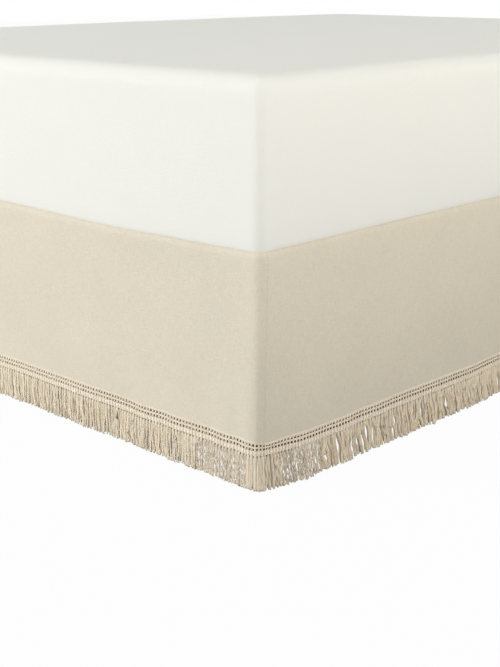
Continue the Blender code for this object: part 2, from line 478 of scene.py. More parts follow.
@dataclass(frozen=True)
class YarnRun:
    """Many yarns at once, as paths in trim coordinates (along, out, height)."""

    paths: Array
    wide: Array
    deep: Array
    tone: Array
    sweep: Sweep
    sides: int

    def add_to(self, sketch: MeshSketch) -> None:
        """Sweep each path into a closed tube and add all of them.

        Args:
            sketch: The mesh that takes them.
        """
        count, knots, sides = *self.paths.shape[:2], self.sides
        angle = 2 * math.pi * np.arange(sides) / sides
        ring = np.zeros((count, knots, sides, 3))
        cross = {Sweep.DOWN: (0, 1), Sweep.LENGTHWISE: (2, 1)}[self.sweep]
        ring[..., cross[0]] = self.wide[..., None] * np.cos(angle)
        ring[..., cross[1]] = self.deep[..., None] * np.sin(angle)
        spots = self.paths[:, :, None, :] + ring
        points = LINE.place(spots[..., 0], spots[..., 1], spots[..., 2])
        number = np.arange(count * knots * sides).reshape(count, knots, sides)
        turned = np.roll(number, -1, axis=2)
        quads = np.stack(
            [number[:, :-1], turned[:, :-1], turned[:, 1:], number[:, 1:]], -1
        ).reshape(-1, 4)
        step = np.linalg.norm(np.diff(self.paths, axis=1), axis=2)
        run = np.concatenate([np.zeros((count, 1)), np.cumsum(step, axis=1)], axis=1)
        near = np.broadcast_to(run[:, :-1, None], (count, knots - 1, sides))
        far = np.broadcast_to(run[:, 1:, None], (count, knots - 1, sides))
        turn = np.broadcast_to(np.arange(sides) / sides, near.shape)
        corners = [(turn, near), (turn + 1 / sides, near), (turn + 1 / sides, far)]
        cut = np.stack([np.stack(pair, -1) for pair in [*corners, (turn, far)]], -2)
        ends = np.concatenate([number[:, 0, ::-1], number[:, -1]])
        inward = self.sweep is Sweep.DOWN
        quads, ends = (quads[:, ::-1], ends[:, ::-1]) if inward else (quads, ends)
        cut = cut.reshape(-1, 4, 2)
        cut = cut[:, ::-1] if inward else cut
        tone = np.broadcast_to(self.tone[..., None], (count, knots, sides)).ravel()
        sketch.add(points.reshape(-1, 3), quads, cut, tone)
        sketch.faces.append(ends + sketch.count - len(tone))
        sketch.cuts.append(np.zeros((ends.size, 2)))


class NodeBench:
    """Lays nodes in one tree and joins them."""

    def __init__(self, tree: bpy.types.NodeTree) -> None:
        """Start on a tree.

        Args:
            tree: The tree that takes the nodes.
        """
        self.tree = tree

    def node(self, kind: str, **settings: object) -> bpy.types.Node:
        """Add a node and set its own properties.

        Args:
            kind: The node's type, without ShaderNode.
            **settings: Properties to set on it.

        Returns:
            The new node.
        """
        made = self.tree.nodes.new("ShaderNode" + kind)
        for name, value in settings.items():
            setattr(made, name, value)
        return made

    def feed(self, target: Socket, value: object) -> None:
        """Join a socket to the target, or set the target's value.

        Args:
            target: An input socket.
            value: An output socket, or a plain value.
        """
        if isinstance(value, bpy.types.NodeSocket):
            self.tree.links.new(value, target)
        else:
            target.default_value = value

    def maths(self, operation: str, *values: object) -> Socket:
        """Add a Math node.

        Args:
            operation: Its operation.
            *values: Sockets or numbers for its inputs.

        Returns:
            Its output.
        """
        made = self.node("Math", operation=operation)
        for target, value in zip(made.inputs, values, strict=False):
            self.feed(target, value)
        return made.outputs[0]

    def ridge(self, value: Socket) -> Socket:
        """Return a row of rounded ridges, one for each whole step of the value."""
        turned = self.maths("MULTIPLY", value, math.pi)
        return self.maths("ABSOLUTE", self.maths("SINE", turned))

    def axes(self, vector: Socket) -> bpy.types.NodeOutputs:
        """Return a vector's X, Y and Z."""
        made = self.node("SeparateXYZ")
        self.feed(made.inputs[0], vector)
        return made.outputs

    def brighten(self, colour: Socket, factor: Socket) -> Socket:
        """Scale a colour by a factor.

        Args:
            colour: The colour.
            factor: What it is multiplied by.

        Returns:
            The scaled colour.
        """
        made = self.node("VectorMath", operation="SCALE")
        self.feed(made.inputs[0], colour)
        self.feed(made.inputs["Scale"], factor)
        return made.outputs[0]

    def stretch(self, vector: Socket, scale: tuple[float, float, float]) -> Socket:
        """Scale a vector axis by axis.

        Args:
            vector: The vector.
            scale: A factor for each axis.

        Returns:
            The scaled vector.
        """
        made = self.node("VectorMath", operation="MULTIPLY")
        self.feed(made.inputs[0], vector)
        made.inputs[1].default_value = scale
        return made.outputs[0]

    def noise(self, vector: Socket, scale: float, detail: float = 2.0) -> Socket:
        """Add a noise texture.

        Args:
            vector: Where it is read.
            scale: Its cells to the metre.
            detail: Its octaves.

        Returns:
            Its value, from 0 to 1.
        """
        made = self.node("TexNoise", noise_dimensions="3D")
        self.feed(made.inputs["Vector"], vector)
        made.inputs["Scale"].default_value = scale
        made.inputs["Detail"].default_value = detail
        made.inputs["Roughness"].default_value = NOISE_ROUGHNESS
        return made.outputs["Fac"]

    def spread(self, value: Socket, low: object, high: object) -> Socket:
        """Map a value of 0 to 1 onto another range.

        Args:
            value: The value.
            low: What 0 becomes.
            high: What 1 becomes.

        Returns:
            The mapped value.
        """
        made = self.node("MapRange")
        self.feed(made.inputs["Value"], value)
        self.feed(made.inputs["To Min"], low)
        self.feed(made.inputs["To Max"], high)
        return made.outputs["Result"]

    def tint(self, share: object, first: object, second: object) -> Socket:
        """Mix two colours.

        Args:
            share: How much of the second.
            first: A colour or a socket.
            second: A colour or a socket.

        Returns:
            The mixed colour.
        """
        made = self.node("Mix", data_type="RGBA")
        for target, value in zip(MIX_INPUTS, (share, first, second), strict=True):
            plain = isinstance(value, tuple)
            self.feed(made.inputs[target], (*value, 1.0) if plain else value)
        return made.outputs[MIX_RESULT]


class Effect:
    """Shared shader groups, each built once."""

    made: dict[str, bpy.types.NodeTree] = {}
    slub_scales = ((60.0, 900.0, 1.0), (900.0, 60.0, 1.0))
    fibre_scale = (1900.0, 1900.0, 420.0)
    fibre_height = 0.45
    groove_shade_power = 0.6
    mottles = (
        ("Broad", 1.0, 3.0, 0.0),
        ("Cast", 1.9, 2.0, 13.0),
        ("Fine", 75.0, 3.0, 5.0),
    )

    @classmethod
    def start(
        cls, name: str, inputs: dict[str, object], outputs: tuple[str, ...]
    ) -> tuple[NodeBench, dict[str, Socket], bpy.types.Node]:
        """Open a new group with named inputs and float outputs.

        Args:
            name: The group's name.
            inputs: Input names, each with a number, or None for a vector.
            outputs: Output names.

        Returns:
            The bench, the inputs by name, and the group's output node.
        """
        tree = bpy.data.node_groups.new(name, "ShaderNodeTree")
        for title, value in inputs.items():
            kind = "NodeSocketVector" if value is None else "NodeSocketFloat"
            socket = tree.interface.new_socket(title, in_out="INPUT", socket_type=kind)
            if value is not None:
                socket.default_value = value
        for title in outputs:
            tree.interface.new_socket(
                title, in_out="OUTPUT", socket_type="NodeSocketFloat"
            )
        cls.made[name] = tree
        entry = tree.nodes.new("NodeGroupInput")
        return (
            NodeBench(tree),
            {title: entry.outputs[title] for title in inputs},
            tree.nodes.new("NodeGroupOutput"),
        )

    @classmethod
    def place(
        cls, bench: NodeBench, name: str, **values: object
    ) -> bpy.types.NodeOutputs:
        """Place a group in a material with its own values.

        Args:
            bench: The material's bench.
            name: The group's name.
            **values: Inputs, with underscores for spaces.

        Returns:
            The group's outputs.
        """
        made = bench.node("Group", node_tree=cls.made[name])
        for title, value in values.items():
            bench.feed(made.inputs[title.replace("_", " ")], value)
        return made.outputs

    @classmethod
    def build_all(cls) -> None:
        """Build every shared group."""
        cls.build_weave()
        cls.build_mottle()
        cls.build_twist()

    @classmethod
    def build_weave(cls) -> None:
        """Build a plain weave: one thread over, one under, with slubs both ways."""
        bench, given, out = cls.start(
            "plain weave",
            {"Cut": None, "Warp": 1700.0, "Weft": 1500.0, "Slub": 0.5},
            ("Height", "Tone"),
        )
        cut = bench.axes(given["Cut"])
        across = bench.maths("MULTIPLY", cut["X"], given["Warp"])
        down = bench.maths("MULTIPLY", cut["Y"], given["Weft"])
        ridges = []
        for own, other, sign in ((across, down, 0.5), (down, across, -0.5)):
            thread = bench.ridge(own)
            shift = bench.maths("ADD", other, bench.maths("FLOOR", own))
            lift = bench.maths("COSINE", bench.maths("MULTIPLY", shift, math.pi))
            over = bench.maths("MULTIPLY_ADD", lift, sign, 0.5)
            ridges.append(bench.maths("MULTIPLY", thread, over))
        cloth = bench.maths("MAXIMUM", *ridges)
        both = [
            bench.noise(bench.stretch(given["Cut"], scale), 1.0, 3.0)
            for scale in cls.slub_scales
        ]
        slubs = bench.maths("MULTIPLY", bench.maths("ADD", *both), 0.5)
        height = bench.maths("MULTIPLY_ADD", slubs, given["Slub"], cloth)
        bench.feed(out.inputs["Height"], height)
        bench.feed(out.inputs["Tone"], slubs)

    @classmethod
    def build_mottle(cls) -> None:
        """Build dyed cloth's unevenness: a broad tone, a warm cast and a fine grain.

        Each mottle has an output, a size beside the broad one, its octaves and
        a shift that sets it apart from the others.
        """
        names = tuple(name for name, *_ in cls.mottles)
        bench, given, out = cls.start(
            "cloth mottle", {"Place": None, "Size": 7.0}, names
        )
        for name, factor, detail, shift in cls.mottles:
            moved = bench.node("VectorMath", operation="ADD")
            bench.feed(moved.inputs[0], given["Place"])
            moved.inputs[1].default_value = (shift, shift, shift)
            made = bench.node("TexNoise", noise_dimensions="3D")
            bench.feed(made.inputs["Vector"], moved.outputs[0])
            scale = bench.maths("MULTIPLY", given["Size"], factor)
            bench.feed(made.inputs["Scale"], scale)
            made.inputs["Detail"].default_value = detail
            bench.feed(out.inputs[name], made.outputs["Fac"])

    @classmethod
    def build_twist(cls) -> None:
        """Build plied yarn: ridges that wind round it, fibres along it, and a mask for
        painted shade in its grooves.
        """
        bench, given, out = cls.start(
            "yarn twist",
            {"Cut": None, "Place": None, "Plies": 3.0, "Lay": 0.006},
            ("Height", "Groove Shade", "Fibre"),
        )
        cut = bench.axes(given["Cut"])
        wound = bench.maths(
            "ADD",
            bench.maths("MULTIPLY", cut["X"], given["Plies"]),
            bench.maths("DIVIDE", cut["Y"], given["Lay"]),
        )
        ridge = bench.ridge(wound)
        fibre = bench.noise(bench.stretch(given["Place"], cls.fibre_scale), 1.0, 3.0)
        height = bench.maths("MULTIPLY_ADD", fibre, cls.fibre_height, ridge)
        bench.feed(out.inputs["Height"], height)
        # This mask places painted shade between the plies.
        groove_shade = bench.maths("POWER", ridge, cls.groove_shade_power)
        bench.feed(out.inputs["Groove Shade"], groove_shade)
        bench.feed(out.inputs["Fibre"], fibre)


@dataclass(frozen=True)
class Finish:
    """What every finish has: a name, a colour and how rough it is."""

    name: str
    colour: Colour
    roughness: float = 0.9
    sheen: float = 0.0

    def start(self) -> tuple[bpy.types.Material, NodeBench, bpy.types.Node]:
        """Make an empty material with its Principled shader.

        Returns:
            The material, its bench and its shader node.
        """
        material = bpy.data.materials.new(self.name)
        material.use_nodes = True
        tree = material.node_tree
        tree.nodes.clear()
        bench = NodeBench(tree)
        shader = bench.node("BsdfPrincipled")
        output = bench.node("OutputMaterial")
        bench.feed(output.inputs["Surface"], shader.outputs["BSDF"])
        for title, value in (
            ("Base Color", (*self.colour, 1.0)),
            ("Roughness", self.roughness),
            ("Specular IOR Level", SPECULAR),
            ("Sheen Weight", self.sheen),
            ("Sheen Roughness", SHEEN_ROUGHNESS),
        ):
            bench.feed(shader.inputs[title], value)
        material.diffuse_color = (*self.colour, 1.0)
        return material, bench, shader

    def bump(
        self,
        bench: NodeBench,
        shader: bpy.types.Node,
        *layers: tuple[Socket, float],
    ) -> None:
        """Stack bump layers onto the shader's normal.

        Args:
            bench: The material's bench.
            shader: Its Principled node.
            *layers: Each layer's height socket and its full height in metres.
        """
        below = None
        for height, distance in layers:
            made = bench.node("Bump")
            made.inputs["Strength"].default_value = 1.0
            made.inputs["Distance"].default_value = distance
            bench.feed(made.inputs["Height"], height)
            if below is not None:
                bench.feed(made.inputs["Normal"], below)
            below = made.outputs["Normal"]
        bench.feed(shader.inputs["Normal"], below)


@dataclass(frozen=True)
class ClothFinish(Finish):
    """Plain woven cloth, slightly uneven in tone."""

    warp: float = 1700.0
    weft: float = 1500.0
    slub: float = 0.6
    weave_height: float = 0.00012
    contrast: float = 0.05
    cast: Colour = (0.62, 0.56, 0.46)
    cast_share: float = 0.25
    crumple: float = 0.0006
    tone_steps: tuple[float, float, float] = (0.6, 1.6, 2.6)
    mottle_size: float = 7.0
    rough_change: tuple[float, float] = (-0.06, 0.04)

    def make(self) -> bpy.types.Material:
        """Build the material.

        Returns:
            The finished material.
        """
        material, bench, shader = self.start()
        cut = bench.node("UVMap", uv_map="cut").outputs["UV"]
        place = bench.node("TexCoord").outputs["Object"]
        weave = Effect.place(
            bench,
            "plain weave",
            Cut=cut,
            Warp=self.warp,
            Weft=self.weft,
            Slub=self.slub,
        )
        mottle = Effect.place(
            bench, "cloth mottle", Place=place, Size=self.mottle_size
        )
        base = bench.tint(
            bench.spread(mottle["Cast"], 0.0, self.cast_share), self.colour, self.cast
        )
        sources = mottle["Broad"], mottle["Fine"], weave["Tone"]
        broad, fine, slubs = (
            bench.spread(source, -step * self.contrast, step * self.contrast)
            for source, step in zip(sources, self.tone_steps, strict=True)
        )
        lightness = bench.maths("ADD", broad, bench.maths("ADD", fine, slubs))
        brighter = bench.maths("ADD", lightness, 1.0)
        bench.feed(shader.inputs["Base Color"], bench.brighten(base, brighter))
        smooth, dull = (self.roughness + change for change in self.rough_change)
        rough = bench.spread(mottle["Fine"], smooth, dull)
        bench.feed(shader.inputs["Roughness"], rough)
        self.bump(
            bench,
            shader,
            (mottle["Broad"], self.crumple * 2),
            (mottle["Fine"], self.crumple),
            (weave["Height"], self.weave_height),
        )
        return material


@dataclass(frozen=True)
class YarnFinish(Finish):
    """Soft plied cotton yarn, each strand a little lighter or darker, with painted
    shade in the grooves between its plies.
    """

    plies: float = 3.0
    lay: float = 0.007
    twist_height: float = 0.00035
    # The deep colour is painted shade, laid into the grooves between the plies at up to
    # the share below.
    deep: Colour = (0.42, 0.34, 0.24)
    groove_shade_share: float = 0.35
    tone_share: float = 0.25
    soak: float = 0.25
    fibre_tone: float = 0.10
    fibre_rough: float = 0.08
    light_share: float = 0.4
    soak_depth: float = 0.0015
    soak_colour: Colour = (1.0, 0.95, 0.88)

    def make(self) -> bpy.types.Material:
        """Build the material.

        Returns:
            The finished material.
        """
        material, bench, shader = self.start()
        cut = bench.node("UVMap", uv_map="cut").outputs["UV"]
        place = bench.node("TexCoord").outputs["Object"]
        tone = bench.node("Attribute", attribute_name="tone").outputs["Fac"]
        twist = Effect.place(
            bench, "yarn twist", Cut=cut, Place=place, Plies=self.plies, Lay=self.lay
        )
        # Painted shade: the grooves between the plies are darkened toward the deep
        # colour.
        groove_shade = bench.spread(twist["Groove Shade"], self.groove_shade_share, 0.0)
        colour = bench.tint(groove_shade, self.colour, self.deep)
        lightest = 1.0 + self.tone_share * self.light_share
        # The tone that each point carries holds random tone and, in the trim, painted
        # shade and painted light.
        toned = bench.maths(
            "ADD",
            bench.spread(tone, 1.0 - self.tone_share, lightest),
            bench.spread(twist["Fibre"], -self.fibre_tone, self.fibre_tone),
        )
        bench.feed(shader.inputs["Base Color"], bench.brighten(colour, toned))
        rough = bench.spread(
            twist["Fibre"],
            self.roughness - self.fibre_rough,
            self.roughness + self.fibre_rough,
        )
        bench.feed(shader.inputs["Roughness"], rough)
        self.bump(bench, shader, (twist["Height"], self.twist_height))
        shader.inputs["Subsurface Weight"].default_value = self.soak
        shader.inputs["Subsurface Scale"].default_value = self.soak_depth
        shader.inputs["Subsurface Radius"].default_value = self.soak_colour
        return material


@dataclass(frozen=True)
class WoodFinish(Finish):
    """Oiled hardwood with grain running up the leg."""

    dark: Colour = (0.10, 0.055, 0.03)
    streak_scale: tuple[float, float, float] = (90.0, 90.0, 6.0)
    ring_scale: tuple[float, float, float] = (28.0, 28.0, 1.6)
    pore_scale: tuple[float, float, float] = (900.0, 900.0, 40.0)
    streak_share: float = 0.6
    ring_share: float = 0.5
    pore_share: float = 0.25
    rough_swing: float = 0.12
    grain_height: float = 0.0004
    pore_depth: float = 0.0001

    def make(self) -> bpy.types.Material:
        """Build the material.

        Returns:
            The finished material.
        """
        material, bench, shader = self.start()
        place = bench.node("TexCoord").outputs["Object"]
        streaks = bench.noise(bench.stretch(place, self.streak_scale), 1.0, 5.0)
        rings = bench.noise(bench.stretch(place, self.ring_scale), 1.0, 3.0)
        pores = bench.noise(bench.stretch(place, self.pore_scale), 1.0, 2.0)
        grain = bench.maths(
            "ADD",
            bench.maths("MULTIPLY", streaks, self.streak_share),
            bench.maths("MULTIPLY", rings, self.ring_share),
        )
        colour = bench.tint(bench.spread(grain, 0.0, 1.0), self.dark, self.colour)
        pitted = bench.spread(pores, self.pore_share, 0.0)
        worn = bench.tint(pitted, colour, self.dark)
        bench.feed(shader.inputs["Base Color"], worn)
        swing = self.rough_swing
        rough = bench.spread(streaks, self.roughness - swing, self.roughness + swing)
        bench.feed(shader.inputs["Roughness"], rough)
        self.bump(bench, shader, (grain, self.grain_height), (pores, self.pore_depth))
        return material


LINEN = ClothFinish(
    "natural plain cotton",
    (0.752, 0.703, 0.573),
    sheen=0.05,
    contrast=0.085,
    cast=(0.73, 0.62, 0.52),
    cast_share=0.30,
)
DECK_CLOTH = ClothFinish(
    "platform cloth", (0.70, 0.68, 0.63), contrast=0.04, cast=(0.66, 0.64, 0.60)
)
MATTRESS_CLOTH = ClothFinish(
    "white mattress cover",
    (0.86, 0.86, 0.805),
    warp=2200.0,
    weft=2100.0,
    slub=0.3,
    weave_height=0.00006,
    contrast=0.012,
    cast=(0.83, 0.84, 0.82),
    crumple=0.0004,
)
FOUNDATION_CLOTH = ClothFinish(
    "foundation cover",
    (0.66, 0.64, 0.60),
    warp=1100.0,
    weft=1000.0,
    slub=0.8,
    weave_height=0.0002,
    cast=(0.60, 0.60, 0.58),
)
CORD = YarnFinish(
    "header cord",
    (0.955, 0.847, 0.675),
    plies=2.0,
    lay=0.0042,
    twist_height=0.00022,
    groove_shade_share=0.22,
    tone_share=0.22,
)
STRAND = YarnFinish(
    "fringe yarn",
    (0.965, 0.838, 0.665),
    lay=0.0085,
    twist_height=0.00016,
    groove_shade_share=0.14,
    tone_share=0.22,
    soak=0.6,
)
# The sides' cord and yarn are copies painted lighter and warmer than the foot's:
# painted light for the less light that falls on the side.
LIT_SIDE_CORD = replace(
    CORD,
    name="side header cord painted lighter",
    colour=(1.0, 0.868, 0.705),
    twist_height=0.00012,
    groove_shade_share=0.05,
    tone_share=0.12,
)
LIT_SIDE_STRAND = replace(
    STRAND,
    name="side fringe yarn painted lighter",
    colour=(1.0, 0.84, 0.65),
    groove_shade_share=0.06,
    tone_share=0.14,
)
LEG_WOOD = WoodFinish("leg wood", (0.30, 0.17, 0.09), roughness=0.45)


def thicken(sheet: bpy.types.Object, thick: float) -> None:
    """Give a sheet its thickness, behind the face that it shows."""
    shell = sheet.modifiers.new("thickness", "SOLIDIFY")
    shell.thickness, shell.offset = thick, -1.0


def dress(piece: bpy.types.Object, finish: bpy.types.Material) -> None:
    """Give a piece its finish and the body that it rides on.

    Args:
        piece: The piece.
        finish: Its material.
    """
    piece.data.materials.clear()
    piece.data.materials.append(finish)
    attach(piece, "root")


@dataclass(frozen=True)
class Crease:
    """A soft trough or ridge in the hung cloth.

    Its place is its distance from the corner and its height, its length and
    width are half sizes, and it runs at the given angle from level.
    """

    side: Side
    from_corner: float
    height: float
    length: float
    width: float
    depth: float
    angle: float = 0.0

    def relief(self, away: Array, z: Array) -> Array:
        """Read the crease over the cloth.

        Args:
            away: Distances from the corner on the crease's side.
            z: Heights above the floor.

        Returns:
            How far the cloth stands out there.
        """
        lean = math.radians(self.angle)
        x, y = away - self.from_corner, z - self.height
        run = x * math.cos(lean) + y * math.sin(lean)
        off = y * math.cos(lean) - x * math.sin(lean)
        return (
            self.depth
            * bell(off, self.width)
            * ease(1 - np.abs(run) / self.length)
        )


@dataclass
class SkirtPanel:
    """One hung panel: the flap over the platform's edge, the roll, and the drop.

    Its threads stand a column apart, and closer over the reach by each end,
    which has a length and a count. The rows are counted from the flap down.
    """

    side: Side
    tuck: float = 0.0022
    tuck_turn: float = 0.0006
    tuck_in: float = 0.0008
    flap: float = 0.0265
    thick: float = 0.0015
    column: float = 0.014
    least_column: float = 0.0006
    head_reach: tuple[float, int] = (0.004, 5)
    seam_reach: tuple[float, int] = (0.060, 34)
    flap_rows: int = 4
    roll_rows: int = 8
    drop_rows: int = 36
    hem_rows: int = 5
    hem_high: float = 0.010
    settle: float = 0.02
    seam_dent: float = 0.00003
    seam_wide: float = 0.004
    creases: tuple[Crease, ...] = (
        *rows_of(Crease, Side.FOOT, rows=(
            (0.035, 0.185, 0.030, 0.004, -0.0005, 6),
            (0.060, 0.165, 0.040, 0.005, -0.0006, -4),
            (0.045, 0.140, 0.035, 0.004, -0.0004, 10),
            (0.21, 0.23, 0.16, 0.05, 0.0012, 80),
            (0.36, 0.20, 0.20, 0.06, -0.0010, 84),
            (0.52, 0.22, 0.18, 0.05, 0.0012, 96),
        )),
        *rows_of(Crease, Side.RIGHT, rows=(
            (0.14, 0.22, 0.18, 0.05, 0.0012, 98),
            (0.33, 0.20, 0.18, 0.07, -0.0012, 84),
            (0.62, 0.21, 0.20, 0.06, 0.0012, 92),
            (1.10, 0.20, 0.20, 0.07, 0.0013, 88),
            (1.55, 0.20, 0.20, 0.07, -0.0012, 93),
        )),
        *rows_of(Crease, Side.LEFT, rows=(
            (0.20, 0.22, 0.18, 0.06, 0.0014, 94),
            (0.55, 0.20, 0.20, 0.07, -0.0012, 86),
            (1.05, 0.20, 0.20, 0.07, 0.0013, 92),
        )),
    )  # fmt: skip

    @property
    def name(self) -> str:
        """The panel's name, which is its node's name with its cloth."""
        return f"skirt_cloth_{self.side.value}"

    def stops(self) -> Array:
        """Space the columns of threads, closer round a corner and by a seam.

        Returns:
            Places along the line.
        """
        start, end = LINE.span(self.side)
        stops = [np.linspace(start, end, round((end - start) / self.column))]
        for edge, inward in ((start, 1), (end, -1)):
            at_head = edge in (0.0, LINE.full_run)
            reach, count = self.head_reach if at_head else self.seam_reach
            near = edge + inward * np.linspace(0, reach, count)
            stops.append(near[(near > start) & (near < end)])
        return spaced(stops, self.least_column, to_end=True)

    def section(self) -> tuple[Array, Array, Array]:
        """Lay the rows from the flap's edge over the roll to the hem.

        Returns:
            Distances out, heights, and the length of cloth down to each row.
        """
        turn = quarter(self.roll_rows)
        flap = np.linspace(-self.flap, -LINE.roll, self.flap_rows + 1)[:-1]
        hem_top = LINE.hem + self.hem_high
        drop = np.linspace(LINE.top - LINE.roll, hem_top, self.drop_rows)[1:]
        hem = np.linspace(hem_top, LINE.hem, self.hem_rows)[1:]
        reach = [flap, LINE.roll * (np.sin(turn) - 1), np.zeros(len(drop) + len(hem))]
        if self.side is not Side.FOOT:
            hem = np.append(hem, [LINE.hem - self.tuck_turn, LINE.hem - self.tuck])
            reach.append(np.array([-self.tuck_in, -self.tuck_in]))
        roll = LINE.top + LINE.roll * (np.cos(turn) - 1)
        z = np.concatenate([np.full(self.flap_rows, LINE.top), roll, drop, hem])
        reach = np.concatenate(reach)
        step = np.hypot(np.diff(reach), np.diff(z))
        return reach, z, np.concatenate([[0], np.cumsum(step)])

    def relief(self, along: Array, z: Array) -> Array:
        """Add up the creases of this side and its turned seam edges.

        Args:
            along: Places along the line.
            z: Heights above the floor.

        Returns:
            How far the cloth stands out.
        """
        away = np.abs(LINE.from_corner(along))
        total = np.zeros(np.broadcast(along, z).shape)
        for crease in self.creases:
            if crease.side is self.side:
                total = total + crease.relief(away, z)
        total = total * ease((LINE.top - LINE.roll - z) / self.settle)
        for seam in (LINE.seam_at, LINE.full_run - LINE.seam_at):
            near = np.clip(1 - np.abs(along - seam) / self.seam_wide, 0, 1)
            total = total - self.seam_dent * near**2
        return total

    def build(self, finish: bpy.types.Material) -> bpy.types.Object:
        """Make the panel and give it its cloth.

        Args:
            finish: The cloth's material.

        Returns:
            The panel.
        """
        stops = self.stops()
        reach, z, down = self.section()
        along, high = np.meshgrid(stops, z)
        out = np.broadcast_to(reach[:, None], along.shape)
        points = LINE.place(along, out + self.relief(along, high), high)
        flat = np.stack([along, np.broadcast_to(down[:, None], along.shape)], -1)
        sketch = MeshSketch()
        sketch.lay(points, flat, flip=True)
        panel = sketch.make(self.name)
        thicken(panel, self.thick)
        dress(panel, finish)
        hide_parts(f"skirt_{self.side.value}")
        return panel

    def flat_size(self) -> tuple[float, float]:
        """Return the width and length that the panel was cut to."""
        start, end = LINE.span(self.side)
        return end - start, self.section()[2][-1]


@dataclass
class OpenworkHeader:
    """The ladder header of the trim: edge, two rows of holes, a cord between, a band.

    The edge, the middle and the band are lengthwise cords at these heights, and
    the sides' pitch is read at distances from the corner.
    """

    side: Side
    pitch: float = PITCH
    side_pitch: Knots = (
        (0.0, 0.0064), (0.02, 0.0058), (0.06, 0.0060),
        (0.10, 0.0070), (0.20, 0.00765), (2.1, 0.00765),
    )  # fmt: skip
    edge: tuple[float, ...] = (0.0828, 0.0811)
    middle: tuple[float, ...] = (0.0748, 0.0732)
    band: tuple[float, ...] = (0.0671, 0.0650, 0.0628, 0.0607)
    cord: float = 0.00100
    band_cord: float = 0.00125
    cord_flat: float = 0.85
    cord_wobble: float = 0.00016
    cord_uneven: float = 0.08
    cord_tone: float = 0.12
    yarn_sides: int = 5
    off: float = 0.0009
    edge_tone: float = 0.60
    band_tone: float = 0.85
    # The posts' tone is set above the band's: painted light against the shade that the
    # cords cast on them.
    post_lit_tone: float = 0.97
    wrap: float = 0.0031
    edge_lift: float = 0.0004
    band_sink: float = 0.0003
    inset: float = 0.0003
    knot_step: float = 0.0034
    count_step: float = 0.0002
    post_knots: int = 5
    post_girths: tuple[float, float] = (0.00108, 0.00099)
    post_overlap: float = 0.0002
    post_lean: float = 0.0007
    post_spread: float = 0.00092
    post_open: float = 0.35
    post_lift: float = 0.0003
    post_cross: float = 0.0005
    girth_power: float = 1.5
    post_flat: float = 0.9
    post_jitter: float = 0.00018
    post_lean_uneven: float = 0.0004
    post_uneven: float = 0.07
    tone_uneven: float = 0.1
    wrap_lift: float = 0.0006
    wrap_inset: tuple[float, float] = (0.0012, 0.0013)
    wrap_flat: float = 0.28
    wrap_jitter: float = 0.0002
    seed: int = 11

    def centres(self) -> Array:
        """Return the middle of each post along the line, closer near a corner."""
        start, end = LINE.span(self.side)
        fine = np.arange(start, end, self.count_step)
        past = LINE.from_corner(fine)
        step = np.where(past < 0, eased_line(-past, self.side_pitch), self.pitch)
        passed = np.cumsum(self.count_step / step)
        count = round(passed[-1])
        return np.interp((np.arange(count) + 0.5) / count * passed[-1], passed, fine)

    def cords(self, rng: np.random.Generator) -> list[YarnRun]:
        """Lay the lengthwise cords.

        Args:
            rng: The header's own random numbers.

        Returns:
            The cords.
        """
        start, end = LINE.span(self.side)
        count = round((end - start) / self.knot_step)
        along = np.linspace(start + self.inset, end - self.inset, count)
        runs = []
        lines = [(z, self.cord, self.off + self.edge_lift) for z in self.edge]
        lines += [(z, self.cord, self.off) for z in self.middle]
        lines += [(z, self.band_cord, self.off - self.band_sink) for z in self.band]
        for z, radius, out in lines:
            wobble = self.cord_wobble * rng.standard_normal(len(along))
            path = np.stack([along, np.full_like(along, out), z + wobble], -1)[None]
            uneven = self.cord_uneven * rng.standard_normal((1, len(along)))
            wide = radius * (1 + uneven)
            own = self.edge_tone if z in self.edge else self.band_tone
            uneven = self.cord_tone * rng.standard_normal((1, len(along)))
            tone = np.clip(own + uneven, 0, 1)
            deep = wide * self.cord_flat
            cord = YarnRun(path, wide, deep, tone, Sweep.LENGTHWISE, self.yarn_sides)
            runs.append(cord)
        return runs

    def posts(self, rng: np.random.Generator) -> list[YarnRun]:
        """Lay two leaning yarns at each post of both rows, and the wraps on the band.

        Args:
            rng: The header's own random numbers.

        Returns:
            The posts and wraps.
        """
        centres = self.centres()
        room = room_for(centres)
        share = np.linspace(0, 1, self.post_knots)
        shape = len(centres), self.post_knots
        lap, sides = self.post_overlap, self.yarn_sides
        runs = []

        def around(width: float) -> Array:
            """Return one number a post, gathered round nothing."""
            return width * rng.standard_normal((len(centres), 1))

        def lay(place: Ends, ends: Ends, girth: Ends, own: float) -> None:
            """Lay one yarn at every post, from its top end to its foot.

            Args:
                place: Where the yarns lie, along and out.
                ends: The heights of their two ends.
                girth: Their half width, and how deep they are for it.
                own: Their tone.
            """
            tone = np.clip(own + around(self.tone_uneven), 0, 1)
            z = ends[0] + (ends[1] - ends[0]) * share
            parts = [np.broadcast_to(part, shape) for part in (*place, z, tone)]
            paths, (wide, flat) = np.stack(parts[:3], -1), girth
            deep, tone = wide * flat, parts[3]
            runs.append(YarnRun(paths, wide, deep, tone, Sweep.DOWN, sides))

        rows = (
            (self.edge[1] - lap, self.middle[0] - lap),
            (self.middle[1] + lap, self.band[0]),
        )
        for ends, girth in zip(rows, self.post_girths, strict=True):
            for hand in (-1, 1):
                jitter = around(self.post_jitter)
                lean = self.post_lean + around(self.post_lean_uneven)
                turn = np.cos(math.pi * self.post_open * share)
                twist = hand * self.post_spread * room * turn
                along = centres[:, None] + jitter + lean * (share - 0.5) + twist
                cross = hand * self.post_cross * np.sin(math.pi * share)
                out = self.off + self.post_lift + cross
                uneven = self.post_uneven * rng.standard_normal(shape)
                wide = girth * room**self.girth_power * (1 + uneven)
